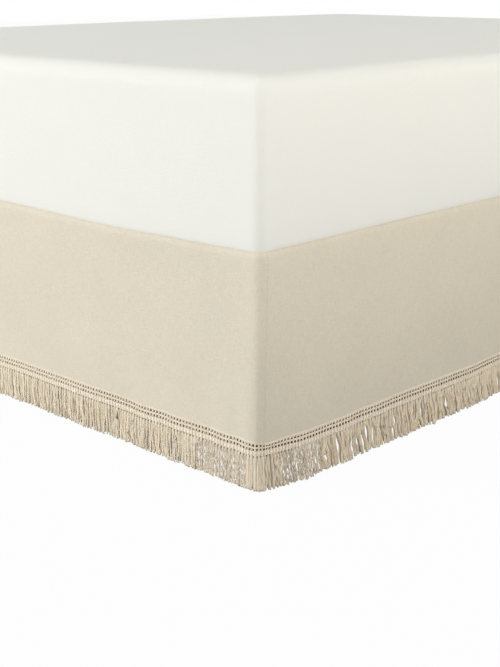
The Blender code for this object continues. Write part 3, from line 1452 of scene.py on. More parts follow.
                # The posts take the lighter tone, which is painted light.
                lay((along, out), ends, (wide, self.post_flat), self.post_lit_tone)
        along = centres[:, None] + around(self.wrap_jitter)
        out = self.off + self.wrap_lift * np.sin(math.pi * share) ** 0.5
        ends = self.band[0] + self.wrap_inset[0], self.band[-1] - self.wrap_inset[1]
        wide = np.broadcast_to(self.wrap * room, shape)
        lay((along, out), ends, (wide, self.wrap_flat), self.band_tone)
        return runs

    def build(self, finish: bpy.types.Material) -> bpy.types.Object:
        """Make the header as one joined mesh.

        Args:
            finish: The cord's material.

        Returns:
            The header.
        """
        rng = np.random.default_rng(self.seed + len(self.side.value))
        sketch = MeshSketch()
        for run in self.cords(rng) + self.posts(rng):
            run.add_to(sketch)
        header = sketch.make(f"header_{self.side.value}")
        dress(header, finish)
        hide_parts(f"trim_{self.side.value}")
        return header


@dataclass(frozen=True)
class Parting:
    """A place where the yarns part, from a low to a high point.

    Its distance from the corner is in metres, and the rest in millimetres. Where
    it isn't through, the even layer behind shows in it.
    """

    side: Side
    from_corner: float
    half_width: float
    low: float
    high: float
    through: bool = True


@dataclass(frozen=True)
class ThinPatch:
    """A stretch of fringe whose yarns hang loose, in metres from the corner."""

    side: Side
    start: float
    end: float


@dataclass(frozen=True)
class Drape:
    """How one side's yarns hang: how calm, how wavy and how uneven they are.

    Strays and bends are in metres. A wave has a height in metres and its fewest
    and most half turns down the fringe.
    """

    calm: float
    flat: float
    full: float
    stray: float
    vary: float
    bend: float
    loose_wave: float
    lock_tone: float
    waves: tuple[tuple[float, float, float], ...]
    neck: float = 0.67
    # Painted light: yarns are lightened near the root, under the band, where its shade
    # falls.
    root_painted_light: float = 0.4


FOOT_DRAPE = Drape(
    calm=0.35, flat=0.9, full=1.0, stray=0.0004, vary=0.14, bend=0.0008,
    loose_wave=2.0, lock_tone=0.06, waves=((0.0003, 1.5, 3.5), (0.0003, 4.0, 7.0)),
)  # fmt: skip
SIDE_DRAPE = Drape(
    calm=1.0, flat=1.0, full=0.92, stray=0.0006, vary=0.22, bend=0.0022,
    loose_wave=1.6, lock_tone=0.20, waves=((0.0007, 1.5, 3.5), (0.0004, 4.0, 7.0)),
)  # fmt: skip


@dataclass(frozen=True)
class Ply:
    """One yarn of a bundle: its place from the middle, its painted shade and its size.
    """

    across: float
    out: float
    # How much darker the yarn is painted: painted shade on outer and back yarns, which
    # the lock's other yarns would shade.
    darker: float
    size: float


@dataclass(frozen=True)
class Chance:
    """How much chance moves bundles and yarns, each as one standard deviation.

    Lengths are in metres and winds in radians. A lock's width, strength and
    shortness, and a bow's half turns, lie evenly between two ends.
    """

    lock: tuple[float, float] = (0.007, 0.022)
    strength: tuple[float, float] = (-0.05, 0.22)
    short: tuple[float, float] = (0.0, 0.0018)
    sway: float = 0.0008
    length: float = 0.0005
    bow: tuple[float, float] = (0.9, 2.0)
    gather: float = 0.0007
    wander: float = 0.0009
    loose_wander: float = 0.0004
    depth: float = 0.0005
    tip_depth: float = 0.0008
    spread: float = 0.07
    wind: float = 0.25
    tip_wind: float = 0.5
    tip: float = 0.0004
    ply: float = 0.00012
    taper: tuple[float, float] = (0.0, 0.25)
    tone: float = 0.06
    knot_tone: float = 0.09


@dataclass(frozen=True)
class Fall:
    """The even part of the way that bundles hang, before chance moves them.

    Each part has a row for each bundle, and where it changes on the way down, a
    column for each knot.
    """

    middle: Array
    depth: Array
    curl: Array
    spread: Array
    crowd: Array
    room: Array
    girth: Array
    steady: Array | float


@dataclass
class Fringe:
    """The cut fringe: bundles of soft yarn that come from under the band.

    Near a corner the bundles stand upright and close up. Farther off they lean,
    swing out and curl, each over its own reach from the corner.
    """

    side: Side
    root: float = 0.0605
    tip: float = 0.0020
    least_tip: float = 0.0006
    off: float = 0.0009
    yarn: float = 0.00112
    sides: int = 4
    chance: Chance = Chance()
    top_knots: tuple[float, ...] = (0.0, 0.045, 0.085, 0.135)
    low_knots_from: float = 0.21
    gathered_knots: int = 11
    loose_knots: int = 17
    behind_knots: int = 4
    broad: Wave = Wave(0.083, 0.0016, 1.0)
    close: Wave = Wave(0.037, 0.0012, 2.0)
    steady_from: float = 0.02
    steady_run: float = 0.05
    loose_steady: float = 0.15
    lean: float = 0.0045
    lean_run: float = 0.06
    sweep_power: float = 1.7
    closing: float = 0.0026
    closing_reach: float = 0.02
    side_swing: float = 0.0045
    foot_swing: float = 0.0010
    swing_run: float = 0.16
    kick: float = 0.0012
    kick_at: float = 0.027
    kick_reach: float = 0.016
    curl: float = 0.0055
    curl_change: float = 0.4
    curl_lift: float = 0.4
    gather_run: float = 1.1
    wander_run: float = 2.5
    stray_from: float = 0.04
    stray_run: float = 3.5
    wave_run: float = 3.0
    drift_run: float = 2.0
    loose_turns: tuple[float, float] = (2.0, 3.0)
    belly: float = 0.0005
    behind_neck: float = 0.2
    behind_short: float = 0.002
    neck_high: float = 0.0580
    neck_run: float = 0.0032
    pinch: float = 0.12
    crowd: float = 0.35
    crowd_reach: float = 0.03
    drift_turns: tuple[float, float, float] = (1.05, 0.30, 0.22)
    least_steady: float = 0.1
    loose_gather: float = 0.2
    wind_depth: float = 0.7
    loose_swell: float = 0.22
    middle_tone: float = 0.66
    parting_reach: float = 0.012
    past_end: tuple[float, float] = (-0.0006, 0.004)
    front_pressed: tuple[float, float, float] = (0.057, 0.003, 0.6)
    behind_pressed: tuple[float, float, float] = (0.0545, 0.004, 1.0)
    cut_from: float = 0.9
    cut_run: float = 0.1
    cut_power: float = 1.5
    swell_from: float = 0.7
    swell_run: float = 0.2
    root_painted_light_run: float = 0.14
    seed: int = 29
    # Outer and back yarns are painted a little darker, as painted shade between the
    # locks.
    gathered: tuple[Ply, ...] = rows_of(Ply, rows=(
        (-0.0023, 0.0000, 0.06, 1.15), (-0.0008, 0.0011, 0.0, 1.3),
        (0.0009, 0.0007, 0.0, 1.3), (0.0023, 0.0000, 0.06, 1.15),
    ))  # fmt: skip
    loose_plies: tuple[Ply, ...] = rows_of(Ply, rows=(
        (-0.0030, 0.0, 0.06, 0.62), (-0.0018, 0.0009, 0.0, 0.66),
        (-0.0006, 0.0012, 0.0, 0.66), (0.0007, 0.0009, 0.0, 0.66),
        (0.0019, 0.0011, 0.0, 0.66), (0.0031, 0.0, 0.06, 0.62),
        (-0.0012, -0.0012, 0.1, 0.7), (0.0014, -0.0012, 0.1, 0.7),
    ))  # fmt: skip
    # The even layer behind is painted much darker: painted shade behind the front
    # yarns.
    curtain: tuple[Ply, ...] = rows_of(Ply, rows=(
        (-0.0024, -0.0020, 0.30, 1.2), (0.0, -0.0022, 0.30, 1.2),
        (0.0024, -0.0020, 0.30, 1.2),
    ))  # fmt: skip
    partings: tuple[Parting, ...] = (
        *rows_of(Parting, Side.RIGHT, rows=(
            (0.011, 2.4, 20, 38), (0.141, 2.2, 18, 46), (0.222, 2.6, 14, 44),
            (0.242, 2.0, 39, 54), (0.262, 2.0, 22, 38), (0.281, 2.8, 26, 45),
            (0.292, 2.0, 30, 43), (0.320, 2.6, 15, 34), (0.376, 2.2, 22, 45),
            (0.423, 2.0, 25, 38), (0.474, 2.3, 16, 37), (0.575, 2.2, 8, 23),
        )),
        *rows_of(Parting, Side.FOOT, rows=(
            (0.181, 2.0, 40, 53), (0.222, 2.0, 10, 30, False),
            (0.255, 2.1, 5, 24, False), (0.300, 2.0, 8, 26, False),
            (0.328, 2.8, 32, 54, False), (0.353, 2.0, 4, 20, False),
            (0.416, 2.6, 28, 54, False), (0.427, 2.4, 6, 26),
            (0.443, 2.0, 10, 32, False), (0.510, 2.1, 10, 30, False),
            (0.560, 2.1, 16, 34, False), (0.599, 2.4, -6, 15),
        )),
    )  # fmt: skip
    patches: tuple[ThinPatch, ...] = (
        ThinPatch(Side.FOOT, 0.020, 0.135),
        ThinPatch(Side.RIGHT, 0.040, 0.130),
        ThinPatch(Side.RIGHT, 0.203, 0.222),
    )

    @property
    def drape(self) -> Drape:
        """How this side's yarns hang."""
        return FOOT_DRAPE if self.side is Side.FOOT else SIDE_DRAPE

    def pull(self, along: Array, rng: np.random.Generator) -> tuple[Array, Array]:
        """Gather the yarns into uneven locks.

        Args:
            along: Where each yarn starts.
            rng: The fringe's own random numbers.

        Returns:
            The way from each yarn to the middle of its lock, and the lock's
            own fall in length.
        """
        start, end = LINE.span(self.side)
        chance = self.chance
        edges = [start]
        while edges[-1] < end:
            edges.append(edges[-1] + rng.uniform(*chance.lock))
        edges = np.array(edges)
        lock = np.clip(np.searchsorted(edges, along) - 1, 0, len(edges) - 2)
        middle = (edges[lock] + edges[lock + 1]) / 2
        strength = rng.uniform(*chance.strength, len(edges))[lock]
        short = rng.uniform(*chance.short, len(edges))[lock]
        sway = rng.normal(0.0, chance.sway, len(edges))[lock]
        return (middle - along) * strength + sway, short

    def part(self, along: Array, z: Array, front: bool) -> Array:
        """Push the yarns off the partings.

        Args:
            along: Where each yarn's points are along the line.
            z: Their heights.
            front: Whether the yarns are in front, where every parting shows.

        Returns:
            The moved places.
        """
        moved = along.copy()
        sign = 1 if self.side is Side.FOOT else -1
        reach = self.parting_reach
        for gap in self.partings:
            if gap.side is not self.side or not (front or gap.through):
                continue
            centre = LINE.corner_at + sign * gap.from_corner
            middle = (gap.low + gap.high) / 2 * MM
            half = (gap.high - gap.low) / 2 * MM
            bowed = np.clip(1 - ((z - middle) / half) ** 2, 0, 1)
            gape = gap.half_width * MM * bowed
            away = moved - centre
            pushed = centre + np.sign(away) * (gape + np.abs(away) * (1 - gape / reach))
            moved = np.where(np.abs(away) < reach, pushed, moved)
        return moved

    def loose(self, roots: Array) -> Array:
        """Tell which bundles hang loose.

        Args:
            roots: The middle of each bundle.

        Returns:
            True for each loose bundle.
        """
        away = np.abs(LINE.from_corner(roots))
        found = np.zeros(len(roots), bool)
        for patch in self.patches:
            if patch.side is self.side:
                found |= (away > patch.start) & (away < patch.end)
        return found

    def fall(self, roots: Array, share: Array, kind: Hang) -> Fall:
        """Find the even part of the way that bundles hang.

        Args:
            roots: The middle of each bundle.
            share: How far down each knot is, from 0 to 1.
            kind: Whether they are gathered, loose, or the even layer behind.

        Returns:
            Their fall.
        """
        behind, loose = kind is Hang.BEHIND, kind is Hang.LOOSE
        drape = self.drape
        past = LINE.from_corner(roots)[:, None]
        away = np.abs(past)
        toward = {Side.RIGHT: -1.0, Side.FOOT: 0.0, Side.LEFT: 1.0}[self.side]
        broad, close = self.broad.read(away), self.close.read(away)
        steady = ease((away - self.steady_from) / self.steady_run)
        steady = self.loose_steady if loose else steady
        lean = toward * self.lean * (1 + 0.5 * close * steady)
        lean = lean * ease(away / self.lean_run)
        if self.side is not Side.LEFT:
            hand = -1.0 if self.side is Side.FOOT else 1.0
            lean = lean + hand * self.closing * bell(away, self.closing_reach)
        slow = self.broad.height * broad + self.close.height * close * steady + lean
        middle = roots[:, None] + slow * share**self.sweep_power
        swing = np.where(past < 0, self.side_swing, self.foot_swing)
        swing = swing * ease(1 - away / self.swing_run)
        if self.side is Side.RIGHT:
            swing = swing + self.kick * bell(away - self.kick_at, self.kick_reach)
        curl = abs(toward) * self.curl * (1 + self.curl_change * broad)
        curl = curl * ease(away / self.swing_run)
        belly = self.belly * np.sin(math.pi * share)
        high = self.root + (self.tip - self.root) * share
        narrow = self.behind_neck if behind else drape.neck
        opened = ease((self.neck_high - high) / self.neck_run)
        down, by_broad, by_close = self.drift_turns
        drift = 2 * math.pi * (down * share + by_broad * broad + by_close * close)
        drift = (np.sin(drift) - np.sin(drift[:, :1])) * ease(share * self.drift_run)
        crowd = self.crowd * bell(away, self.crowd_reach) * ease(share * self.drift_run)
        room = room_for(roots)
        pinched = 1 - (0.0 if behind else self.pinch) * (1 - opened)
        return Fall(
            middle=middle + drape.bend * steady * drift,
            depth=swing * share + curl * share**2 + belly,
            curl=curl,
            spread=narrow + (drape.full - narrow) * opened,
            crowd=1 + crowd,
            room=room,
            girth=self.yarn * room * (1 + crowd) * pinched,
            steady=steady,
        )

    def hang(self, rng: np.random.Generator, roots: Array, kind: Hang) -> YarnRun:
        """Hang bundles, whose yarns wind slowly round their own middle.

        Args:
            rng: The fringe's own random numbers.
            roots: The middle of each bundle.
            kind: Whether they are gathered, loose, or the even layer behind.

        Returns:
            The yarns.
        """
        start, end = LINE.span(self.side)
        behind, loose = kind is Hang.BEHIND, kind is Hang.LOOSE
        drape, chance = self.drape, self.chance
        plies, low_knots = {
            Hang.GATHERED: (self.gathered, self.gathered_knots),
            Hang.LOOSE: (self.loose_plies, self.loose_knots),
            Hang.BEHIND: (self.curtain, self.behind_knots),
        }[kind]
        low = np.linspace(self.low_knots_from, 1, low_knots)
        share = np.append(self.top_knots, low)[None, :]

        def each(low: float, high: float) -> Array:
            """Return one number a bundle, evenly spread."""
            return rng.uniform(low, high, (len(roots), 1))

        def around(width: float) -> Array:
            """Return one number a bundle, gathered round nothing."""
            return rng.normal(0.0, width, (len(roots), 1))

        fall = self.fall(roots, share, kind)
        middle, depth, spread = fall.middle, fall.depth, fall.spread
        wind = np.zeros_like(share)
        lock, short = self.pull(roots, rng)
        floor = self.tip + short[:, None] + around(chance.length)
        floor = floor + self.curl_lift * fall.curl
        if behind:
            floor = floor + self.behind_short
        else:
            bow_from = each(0, 2)
            bow = np.sin(math.pi * (each(*chance.bow) * share + bow_from))
            bow = bow - np.sin(math.pi * bow_from)
            calm = drape.calm * np.clip(fall.steady, self.least_steady, 1.0)
            gather = calm * (self.loose_gather if loose else 1.0)
            middle = middle + gather * lock[:, None] * ease(share * self.gather_run)
            middle = middle + gather * around(chance.gather) * share
            wander = chance.loose_wander if loose else chance.wander
            bowed = bow * ease(share * self.wander_run)
            middle = middle + calm * around(wander) * bowed
            depth = depth + around(chance.depth) + around(chance.tip_depth) * share
            spread = spread + around(chance.spread) * share
            wind = around(chance.wind) + around(chance.tip_wind) * share
        tone = self.middle_tone + around(drape.lock_tone)
        paths, girths, tones = [], [], []
        for ply in plies:
            tip = np.maximum(floor + around(chance.tip), self.least_tip)
            z = self.root + (tip - self.root) * share
            side = ply.across * fall.room + around(chance.ply)
            side = side * spread * fall.crowd
            along = middle + side * np.cos(wind)
            if not behind:
                strayed = ease((share - self.stray_from) * self.stray_run)
                along = along + around(drape.stray) * strayed
                for size, fewest, most in drape.waves:
                    if loose:
                        fewest, most = np.add((fewest, most), self.loose_turns)
                        size = size * drape.loose_wave
                    turns = each(fewest, most) * share + each(0, 2)
                    wave = np.sin(math.pi * turns)
                    along = along + around(size) * wave * ease(share * self.wave_run)
            out = self.off + depth + ply.out + side * np.sin(wind) * self.wind_depth
            out = out + around(drape.stray / 2) * ease(share * self.wave_run)
            along = self.part(along, z, not behind)
            past_end = self.past_end[1] * share + self.past_end[0]
            along = np.clip(along, start - past_end, end + past_end)
            from_high, run, most = (
                self.behind_pressed if behind else self.front_pressed
            )
            out = out + (self.off - out) * (ease((z - from_high) / run) * most)
            cut_end = np.clip((share - self.cut_from) / self.cut_run, 0, 1)
            cut_end = cut_end**self.cut_power
            taper = 1 - each(*chance.taper) * cut_end
            swelled = ease((share - self.swell_from) / self.swell_run)
            swell = self.loose_swell * swelled if loose else 0.0
            paths.append(np.stack([along, out, z], -1))
            own = ply.size * each(1 - drape.vary, 1 + drape.vary)
            girths.append(fall.girth * own * taper * (1 + swell))
            uneven = around(chance.tone)
            uneven = uneven + chance.knot_tone * rng.standard_normal(z.shape)
            # Painted light: the tone is raised toward the root, against the band's
            # shade.
            high = ease(1 - share / self.root_painted_light_run)
            uneven = uneven + drape.root_painted_light * high
            # Lowering the tone by the ply's share is painted shade.
            tones.append(np.clip(tone - ply.darker + uneven, 0, 1))
        wide = np.concatenate(girths)
        return YarnRun(
            paths=np.concatenate(paths),
            wide=wide,
            deep=wide * drape.flat,
            tone=np.concatenate(tones),
            sweep=Sweep.DOWN,
            sides=self.sides,
        )

    def build(self, finish: bpy.types.Material) -> bpy.types.Object:
        """Make the fringe as one joined mesh.

        Args:
            finish: The yarn's material.

        Returns:
            The fringe.
        """
        rng = np.random.default_rng(self.seed + 3 * len(self.side.value))
        sketch = MeshSketch()
        roots = OpenworkHeader(self.side).centres()
        loose = self.loose(roots)
        for kind, chosen in (
            (Hang.BEHIND, ~loose),
            (Hang.GATHERED, ~loose),
            (Hang.LOOSE, loose),
        ):
            if chosen.any():
                self.hang(rng, roots[chosen], kind).add_to(sketch)
        fringe = sketch.make(f"fringe_{self.side.value}")
        dress(fringe, finish)
        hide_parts(f"trim_{self.side.value}")
        return fringe


@dataclass
class Platform:
    """The flat cloth that lies between mattress and foundation."""

    half_width: float = 0.7352
    foot: float = -0.9892
    head: float = 1.0130
    top: float = 0.3810
    thick: float = 0.0013
    columns: int = 34
    rows: int = 46
    settle: float = 0.0002
    ripple: float = 0.00018
    ripple_across: tuple[float, float, float] = (21.0, 3.0, 4.0)
    ripple_along: tuple[float, float] = (17.0, 1.0)

    def build(self, finish: bpy.types.Material) -> bpy.types.Object:
        """Make the platform and give it its cloth.

        Args:
            finish: The cloth's material.

        Returns:
            The platform.
        """
        x, y = np.meshgrid(
            np.linspace(-self.half_width, self.half_width, self.columns),
            np.linspace(self.foot, self.head, self.rows),
        )
        turns, bend, bend_turns = self.ripple_across
        across = np.sin(x * turns + bend * np.sin(y * bend_turns))
        turns, shift = self.ripple_along
        dip = self.ripple * across * np.sin(y * turns + shift)
        points = np.stack([x, y, self.top - self.settle + dip], -1)
        sketch = MeshSketch()
        sketch.lay(points, points[..., :2])
        deck = sketch.make("platform_cloth")
        thicken(deck, self.thick)
        dress(deck, finish)
        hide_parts("skirt_deck")
        return deck


@dataclass
class SoftBlock:
    """A covered block with rounded upright corners, an eased top and a tucked foot.

    The crown is the rise of its top's middle, the bulge is how far its walls
    swell, the pucker is how uneven its cover is, and the lip is how far its
    lower edge sinks into the cloth that it lies on.
    """

    name: str
    slot: Slot
    node: str
    half_width: float
    foot: float
    head: float
    floor: float
    top: float
    corner: float
    edge: float
    tuck_deep: float
    tuck_high: float
    crown: float = 0.0
    bulge: float = 0.0
    pucker: float = 0.0
    lip: float = 0.0
    lip_wide: float = 0.011
    lip_high: float = 0.05
    fill: float = 1.0
    cells: tuple[int, int, int] = (44, 60, 14)
    round_knots: int = 8
    tuck_knots: int = 6
    least_cell: float = 0.0003
    wall_short: float = 1e-6

    def lines(self, half: float, count: int) -> Array:
        """Space grid lines over a side, closer in the rounded zones.

        Args:
            half: Half the side.
            count: Cells between the zones.

        Returns:
            Places from minus half to half.
        """
        turn = quarter(self.round_knots)
        zones = [size * (1 - np.cos(turn)) for size in (self.corner, self.edge)]
        zone = spaced(zones, self.least_cell)
        inner = half - zone[-1]
        middle = np.linspace(-inner, inner, count)
        return np.concatenate([-half + zone[:-1], middle, half - zone[:-1][::-1]])

    def shape(self, x: Array, y: Array, z: Array, half_length: float) -> Array:
        """Round a point of the plain block.

        Args:
            x: Across, from the middle.
            y: Along, from the middle.
            z: Height above the block's floor, with the top's points at full height.
            half_length: Half the block's length.

        Returns:
            The rounded points.
        """
        tall = self.top - self.floor
        corner_from = self.half_width - self.corner, half_length - self.corner
        size = np.stack([np.abs(x), np.abs(y)], -1)
        over = size - corner_from
        far = over.max(-1)
        held = np.maximum(over, 0)
        length = np.maximum(np.linalg.norm(held, axis=-1), TINY)
        grow = np.where(length > 2 * TINY, np.maximum(far, 0) / length, 0)
        low = np.clip((self.tuck_high - z) / self.tuck_high, 0, 1)
        tuck = self.tuck_deep * (1 - np.sqrt(np.clip(1 - low**2, 0, 1)))
        swell = self.bulge * np.sin(math.pi * np.clip(z / tall, 0, 1))
        held = held * grow[..., None] * (1 - (tuck - swell) / self.corner)[..., None]
        sign = np.stack([np.sign(x), np.sign(y)], -1)
        plan = (np.minimum(size, corner_from) + held) * sign
        inside = np.clip(-np.minimum(far - self.corner, 0), 0, None)
        rim = np.clip(self.edge - inside, 0, None)
        rounding = self.edge - np.sqrt(np.clip(self.edge**2 - rim**2, 0, None))
        across, along = 1 - (x / self.half_width) ** 2, 1 - (y / half_length) ** 2
        top = tall - rounding - self.crown + self.crown * across * along
        wall = z * (tall - self.edge - self.crown) / tall
        high = np.where(z >= tall - TINY, top, wall)
        if self.lip:
            at_foot = (y < 0) & (half_length + y < self.half_width - np.abs(x))
            past = np.where(at_foot, self.half_width - np.abs(x), 0.0)
            lip = ease(1 - inside / self.lip_wide) * ease(1 - z / self.lip_high)
            high = high - (self.lip + LINE.slump(past)) * lip
        return np.concatenate([plan, high[..., None]], -1)

    def build(self, finish: bpy.types.Material) -> bpy.types.Object:
        """Make the block as one closed mesh and give it its cover.

        Args:
            finish: The cover's material.

        Returns:
            The block.
        """
        half_length = (self.head - self.foot) / 2
        tall = self.top - self.floor
        xs = self.lines(self.half_width, self.cells[0])
        ys = self.lines(half_length, self.cells[1])
        turn = quarter(self.tuck_knots)
        tucked = self.tuck_high * (1 - np.cos(turn))[:-1]
        walls = np.linspace(self.tuck_high, tall, self.cells[2])
        zs = np.concatenate([tucked, walls])
        # The walls stop just short, so that their top row isn't read as the top face.
        zs[-1] = tall - self.wall_short
        sketch = MeshSketch()
        x, y = np.meshgrid(xs, ys)
        patches = [
            (x, y, np.full_like(x, z), (x, y), z == 0.0) for z in (0.0, tall)
        ]
        x, z = np.meshgrid(xs, zs)
        patches += [
            (x, np.full_like(x, y), z, (x, z), y > 0)
            for y in (-half_length, half_length)
        ]
        y, z = np.meshgrid(ys, zs)
        patches += [
            (np.full_like(y, x), y, z, (y, z), x < 0)
            for x in (self.half_width, -self.half_width)
        ]
        for x, y, z, flat, flip in patches:
            points = self.shape(x, y, z, half_length)
            sketch.lay(points, np.stack(flat, -1), flip)
        block = sketch.make(self.name)
        middle = (self.foot + self.head) / 2
        block.data.transform(Matrix.Translation((0.0, middle, self.floor)))
        weld_block(block, self.pucker)
        dress(block, finish)
        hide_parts(self.node)
        return block


WELD_REACH = 0.00005


@dataclass(frozen=True)
class Pucker:
    """The pattern of a cover's puckers: waves each way, and finer folds aslant.

    Each has its turns, in radians to the metre, how far another wave bends it,
    in radians, and that wave's own turns.
    """

    across: tuple[float, float, float, float] = (9.0, 2.3, 3.1, 4.0)
    along: tuple[float, float, float] = (7.0, 1.7, 5.0)
    aslant: tuple[float, float, float] = (31.0, 6.0, 11.0)
    aslant_share: float = 0.35

    def read(self, x: float, y: float, z: float) -> float:
        """Return how far the cover moves at a place, as a share of the most."""
        turns, bend, by_y, by_z = self.across
        wave = math.sin(turns * x + bend * math.sin(by_y * y + by_z * z))
        turns, bend, by_x = self.along
        wave *= math.sin(turns * y + bend * math.sin(by_x * x))
        turns, bend, by_z = self.aslant
        fold = math.sin(turns * (x + y) + bend * math.sin(by_z * z))
        return wave + fold * self.aslant_share


def weld_block(block: bpy.types.Object, pucker: float) -> None:
    """Close a block's edges, and press its cover in and out a little.

    Args:
        block: The block.
        pucker: How far its cover moves, in metres.
    """
    shell = bmesh.new()
    shell.from_mesh(block.data)
    bmesh.ops.remove_doubles(shell, verts=shell.verts, dist=WELD_REACH)
    bmesh.ops.recalc_face_normals(shell, faces=shell.faces)
    if pucker:
        shell.normal_update()
        pattern = Pucker()
        for point in shell.verts:
            point.co += point.normal * pucker * pattern.read(*point.co)
    shell.to_mesh(block.data)
    shell.free()
    block.data.polygons.foreach_set("use_smooth", [True] * len(block.data.polygons))
    block.data.update()


MATTRESS = SoftBlock(
    name="mattress_covered", slot=Slot.MATTRESS, node="mattress", half_width=0.7605,
    foot=-1.0145, head=1.0145, floor=0.3813, top=0.6453, corner=0.017, edge=0.030,
    tuck_deep=0.0034, tuck_high=0.034, crown=0.010, bulge=0.0022, pucker=0.0005,
    lip=0.0003, fill=0.9,
)  # fmt: skip
FOUNDATION = SoftBlock(
    name="foundation", slot=Slot.FOUNDATION, node="bed_base", half_width=0.749,
    foot=-1.003, head=1.0145, floor=0.1527, top=0.3792, corner=0.040, edge=0.006,
    tuck_deep=0.004, tuck_high=0.006, fill=1.0, cells=(16, 22, 5),
)  # fmt: skip


@dataclass
class Legs:
    """The six turned legs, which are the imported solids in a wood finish."""

    nodes: tuple[str, ...] = tuple(f"leg_{number}" for number in range(1, 7))

    def build(self, finish: bpy.types.Material) -> list[bpy.types.Object]:
        """Give the legs their wood.

        Args:
            finish: The wood's material.

        Returns:
            The legs.
        """
        legs = [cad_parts[name] for name in self.nodes]
        for leg in legs:
            leg.data.materials.clear()
            leg.data.materials.append(finish)
        return legs


@dataclass
class BedSkirt:
    """The skirt: three hung panels with their trim, on the platform."""

    sides: tuple[Side, ...] = tuple(Side)
    rests_on: tuple[str, ...] = ("platform_cloth", "foundation")

    def build(self) -> None:
        """Build the platform, the panels, headers and fringes, and log each."""
        linen = LINEN.make()
        foot = CORD.make(), STRAND.make()
        # The sides take the copies that are painted lighter, which is painted light.
        lit_side_finishes = LIT_SIDE_CORD.make(), LIT_SIDE_STRAND.make()
        report(Platform().build(DECK_CLOTH.make()))
        for side in self.sides:
            part = SkirtPanel(side)
            panel = part.build(linen)
            cord, strand = foot if side is Side.FOOT else lit_side_finishes
            header = OpenworkHeader(side).build(cord)
            fringe = Fringe(side).build(strand)
            part.flat_size()
            for piece in (panel, header, fringe):
                report(piece)


WARM: Colour = (1.0, 0.955, 0.875)


@dataclass(frozen=True)
class Lamp:
    """One soft light: its place, what it faces, its size, watts, spread and colour."""

    name: str
    place: tuple[float, float, float]
    aim: tuple[float, float, float]
    wide: float
    tall: float
    power: float
    spread: float = 180.0
    colour: Colour = (1.0, 1.0, 1.0)

    def build(self) -> None:
        """Make the light."""
        lamp = bpy.data.lights.new(self.name, "AREA")
        lamp.shape = "RECTANGLE"
        lamp.size, lamp.size_y = self.wide, self.tall
        lamp.energy = self.power
        lamp.color = self.colour
        lamp.spread = math.radians(self.spread)
        holder = bpy.data.objects.new(self.name, lamp)
        holder.location = self.place
        way = Vector(self.aim) - Vector(self.place)
        holder.rotation_euler = way.to_track_quat("-Z", "Y").to_euler()
        bpy.context.scene.collection.objects.link(holder)


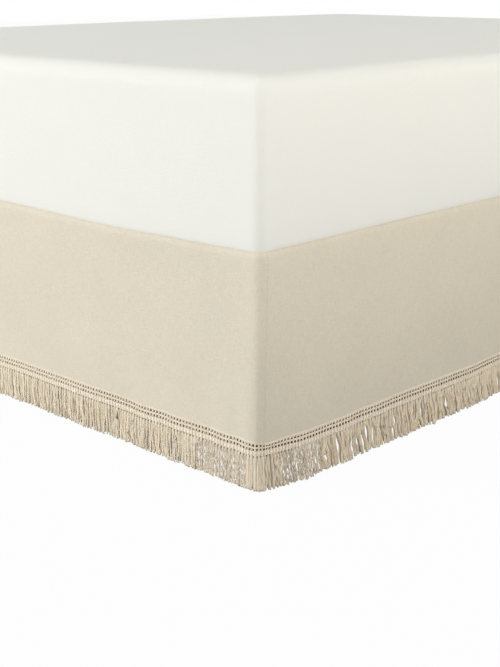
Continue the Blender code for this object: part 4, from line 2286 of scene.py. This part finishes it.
@dataclass
class Studio:
    """A pale floor, soft light and the camera."""

    floor_reach: float = 14.0
    floor_sink: float = 0.0008
    floor_lines: int = 9
    bright: float = 0.97
    # The dark brown that the floor shows far under the bed is painted shade.
    under: Colour = (0.072, 0.046, 0.028)
    side_shade: tuple[float, float] = (-0.096, -0.074)
    foot_shade: tuple[float, float] = (-0.105, -0.085)
    head_shade: tuple[float, float] = (-0.60, 0.02)
    room_light: float = 0.656
    lens: float = 65.62
    sensor: float = 36.0
    farthest: float = 60.0
    eye: tuple[float, float, float] = (1.930, -2.279, 0.777)
    tilt: float = 73.333
    turn: float = 43.189
    lamps: tuple[Lamp, ...] = (
        Lamp("front left", (-3.6, -7.6, 2.3), (0.1, -1.0, 0.3), 3.4, 3.0, 333.0),
        Lamp("right", (6.4, 1.2, 1.5), (0.8, 0.0, 0.3), 3.0, 2.0, 46.0, 180.0, WARM),
        Lamp("strip", (4.2, -0.6, 1.3), (0.8, -0.4, 0.72), 3.0, 0.3, 2.75, 25.0, WARM),
        Lamp("left fill", (-4.8, 1.4, 1.2), (-0.8, 0.4, 0.3), 2.4, 1.6, 30.0),
        Lamp("head fill", (0.0, 5.0, 1.6), (0.0, 1.0, 0.4), 2.4, 1.6, 30.0),
    )

    def build(self) -> None:
        """Build the floor, the lights, the world and the camera."""
        self.build_floor()
        self.build_world()
        for lamp in self.lamps:
            lamp.build()
        self.build_camera()
        bpy.context.scene.view_settings.view_transform = "Standard"

    def build_floor(self) -> None:
        """Make the floor, evenly bright to the eye, with painted shade in dark brown
        far under the bed.
        """
        line = np.linspace(-self.floor_reach, self.floor_reach, self.floor_lines)
        x, y = np.meshgrid(line, line)
        sketch = MeshSketch()
        points = np.stack([x, y, np.full_like(x, -self.floor_sink)], -1)
        sketch.lay(points, points[..., :2])
        floor = sketch.make("floor")
        finish = Finish("pale floor", (0.62, 0.62, 0.62), roughness=0.95)
        material, bench, shader = finish.start()
        place = bench.axes(bench.node("TexCoord").outputs["Object"])
        across = bench.maths("ABSOLUTE", place["X"])
        down = bench.maths("MULTIPLY", place["Y"], -1.0)
        masks = []
        for value, outline, (low, high) in (
            (across, LINE.half_width, self.side_shade),
            (down, LINE.half_length, self.foot_shade),
            (place["Y"], LINE.half_length, self.head_shade),
        ):
            past = bench.maths("SUBTRACT", value, outline)
            edge = bench.node("MapRange", interpolation_type="SMOOTHSTEP")
            bench.feed(edge.inputs["Value"], past)
            edge.inputs["From Min"].default_value = low
            edge.inputs["From Max"].default_value = high
            masks.append(edge.outputs["Result"])
        # Where the masks fall off, the floor shows painted shade in place of the bed's
        # own shade.
        glow = bench.node("Emission")
        bright = bench.maths("MAXIMUM", bench.maths("MAXIMUM", *masks[:2]), masks[2])
        shown = bench.tint(bright, self.under, (1.0, 1.0, 1.0))
        bench.feed(glow.inputs["Color"], shown)
        glow.inputs["Strength"].default_value = 1.0
        mix = bench.node("MixShader")
        seen = bench.node("LightPath").outputs["Is Camera Ray"]
        bench.feed(mix.inputs[0], bench.maths("MULTIPLY", seen, self.bright))
        bench.feed(mix.inputs[1], shader.outputs["BSDF"])
        bench.feed(mix.inputs[2], glow.outputs[0])
        output = next(
            node for node in bench.tree.nodes if node.type == "OUTPUT_MATERIAL"
        )
        bench.feed(output.inputs["Surface"], mix.outputs[0])
        floor.data.materials.append(material)

    def build_world(self) -> None:
        """Make the room's even light, white where it is seen."""
        world = bpy.data.worlds.new("soft room")
        world.use_nodes = True
        world.node_tree.nodes.clear()
        bench = NodeBench(world.node_tree)
        back = bench.node("Background")
        back.inputs["Color"].default_value = (1.0, 1.0, 1.0, 1.0)
        seen = bench.node("LightPath").outputs["Is Camera Ray"]
        bench.feed(back.inputs["Strength"], bench.spread(seen, self.room_light, 1.0))
        output = bench.node("OutputWorld")
        bench.feed(output.inputs["Surface"], back.outputs[0])
        bpy.context.scene.world = world

    def build_camera(self) -> None:
        """Make the camera, which looks down at the foot corner from the right."""
        lens = bpy.data.cameras.new("camera")
        lens.lens = self.lens
        lens.sensor_width = self.sensor
        lens.clip_end = self.farthest
        camera = bpy.data.objects.new("camera", lens)
        camera.location = self.eye
        camera.rotation_euler = (math.radians(self.tilt), 0.0, math.radians(self.turn))
        bpy.context.scene.collection.objects.link(camera)
        bpy.context.scene.camera = camera


def report(piece: bpy.types.Object) -> None:
    """Log a piece's name and how many faces it has."""
    LOG.info("%s: %d faces", piece.name, len(piece.data.polygons))


def main() -> None:
    """Build every sub-assembly in order."""
    logging.basicConfig(level=logging.INFO, format="%(message)s")
    Effect.build_all()
    Studio().build()
    for leg in Legs().build(LEG_WOOD.make()):
        report(leg)
    report(FOUNDATION.build(FOUNDATION_CLOTH.make()))
    BedSkirt().build()
    report(MATTRESS.build(MATTRESS_CLOTH.make()))
    bpy.context.view_layer.update()


if __name__ == "__main__":
    main()
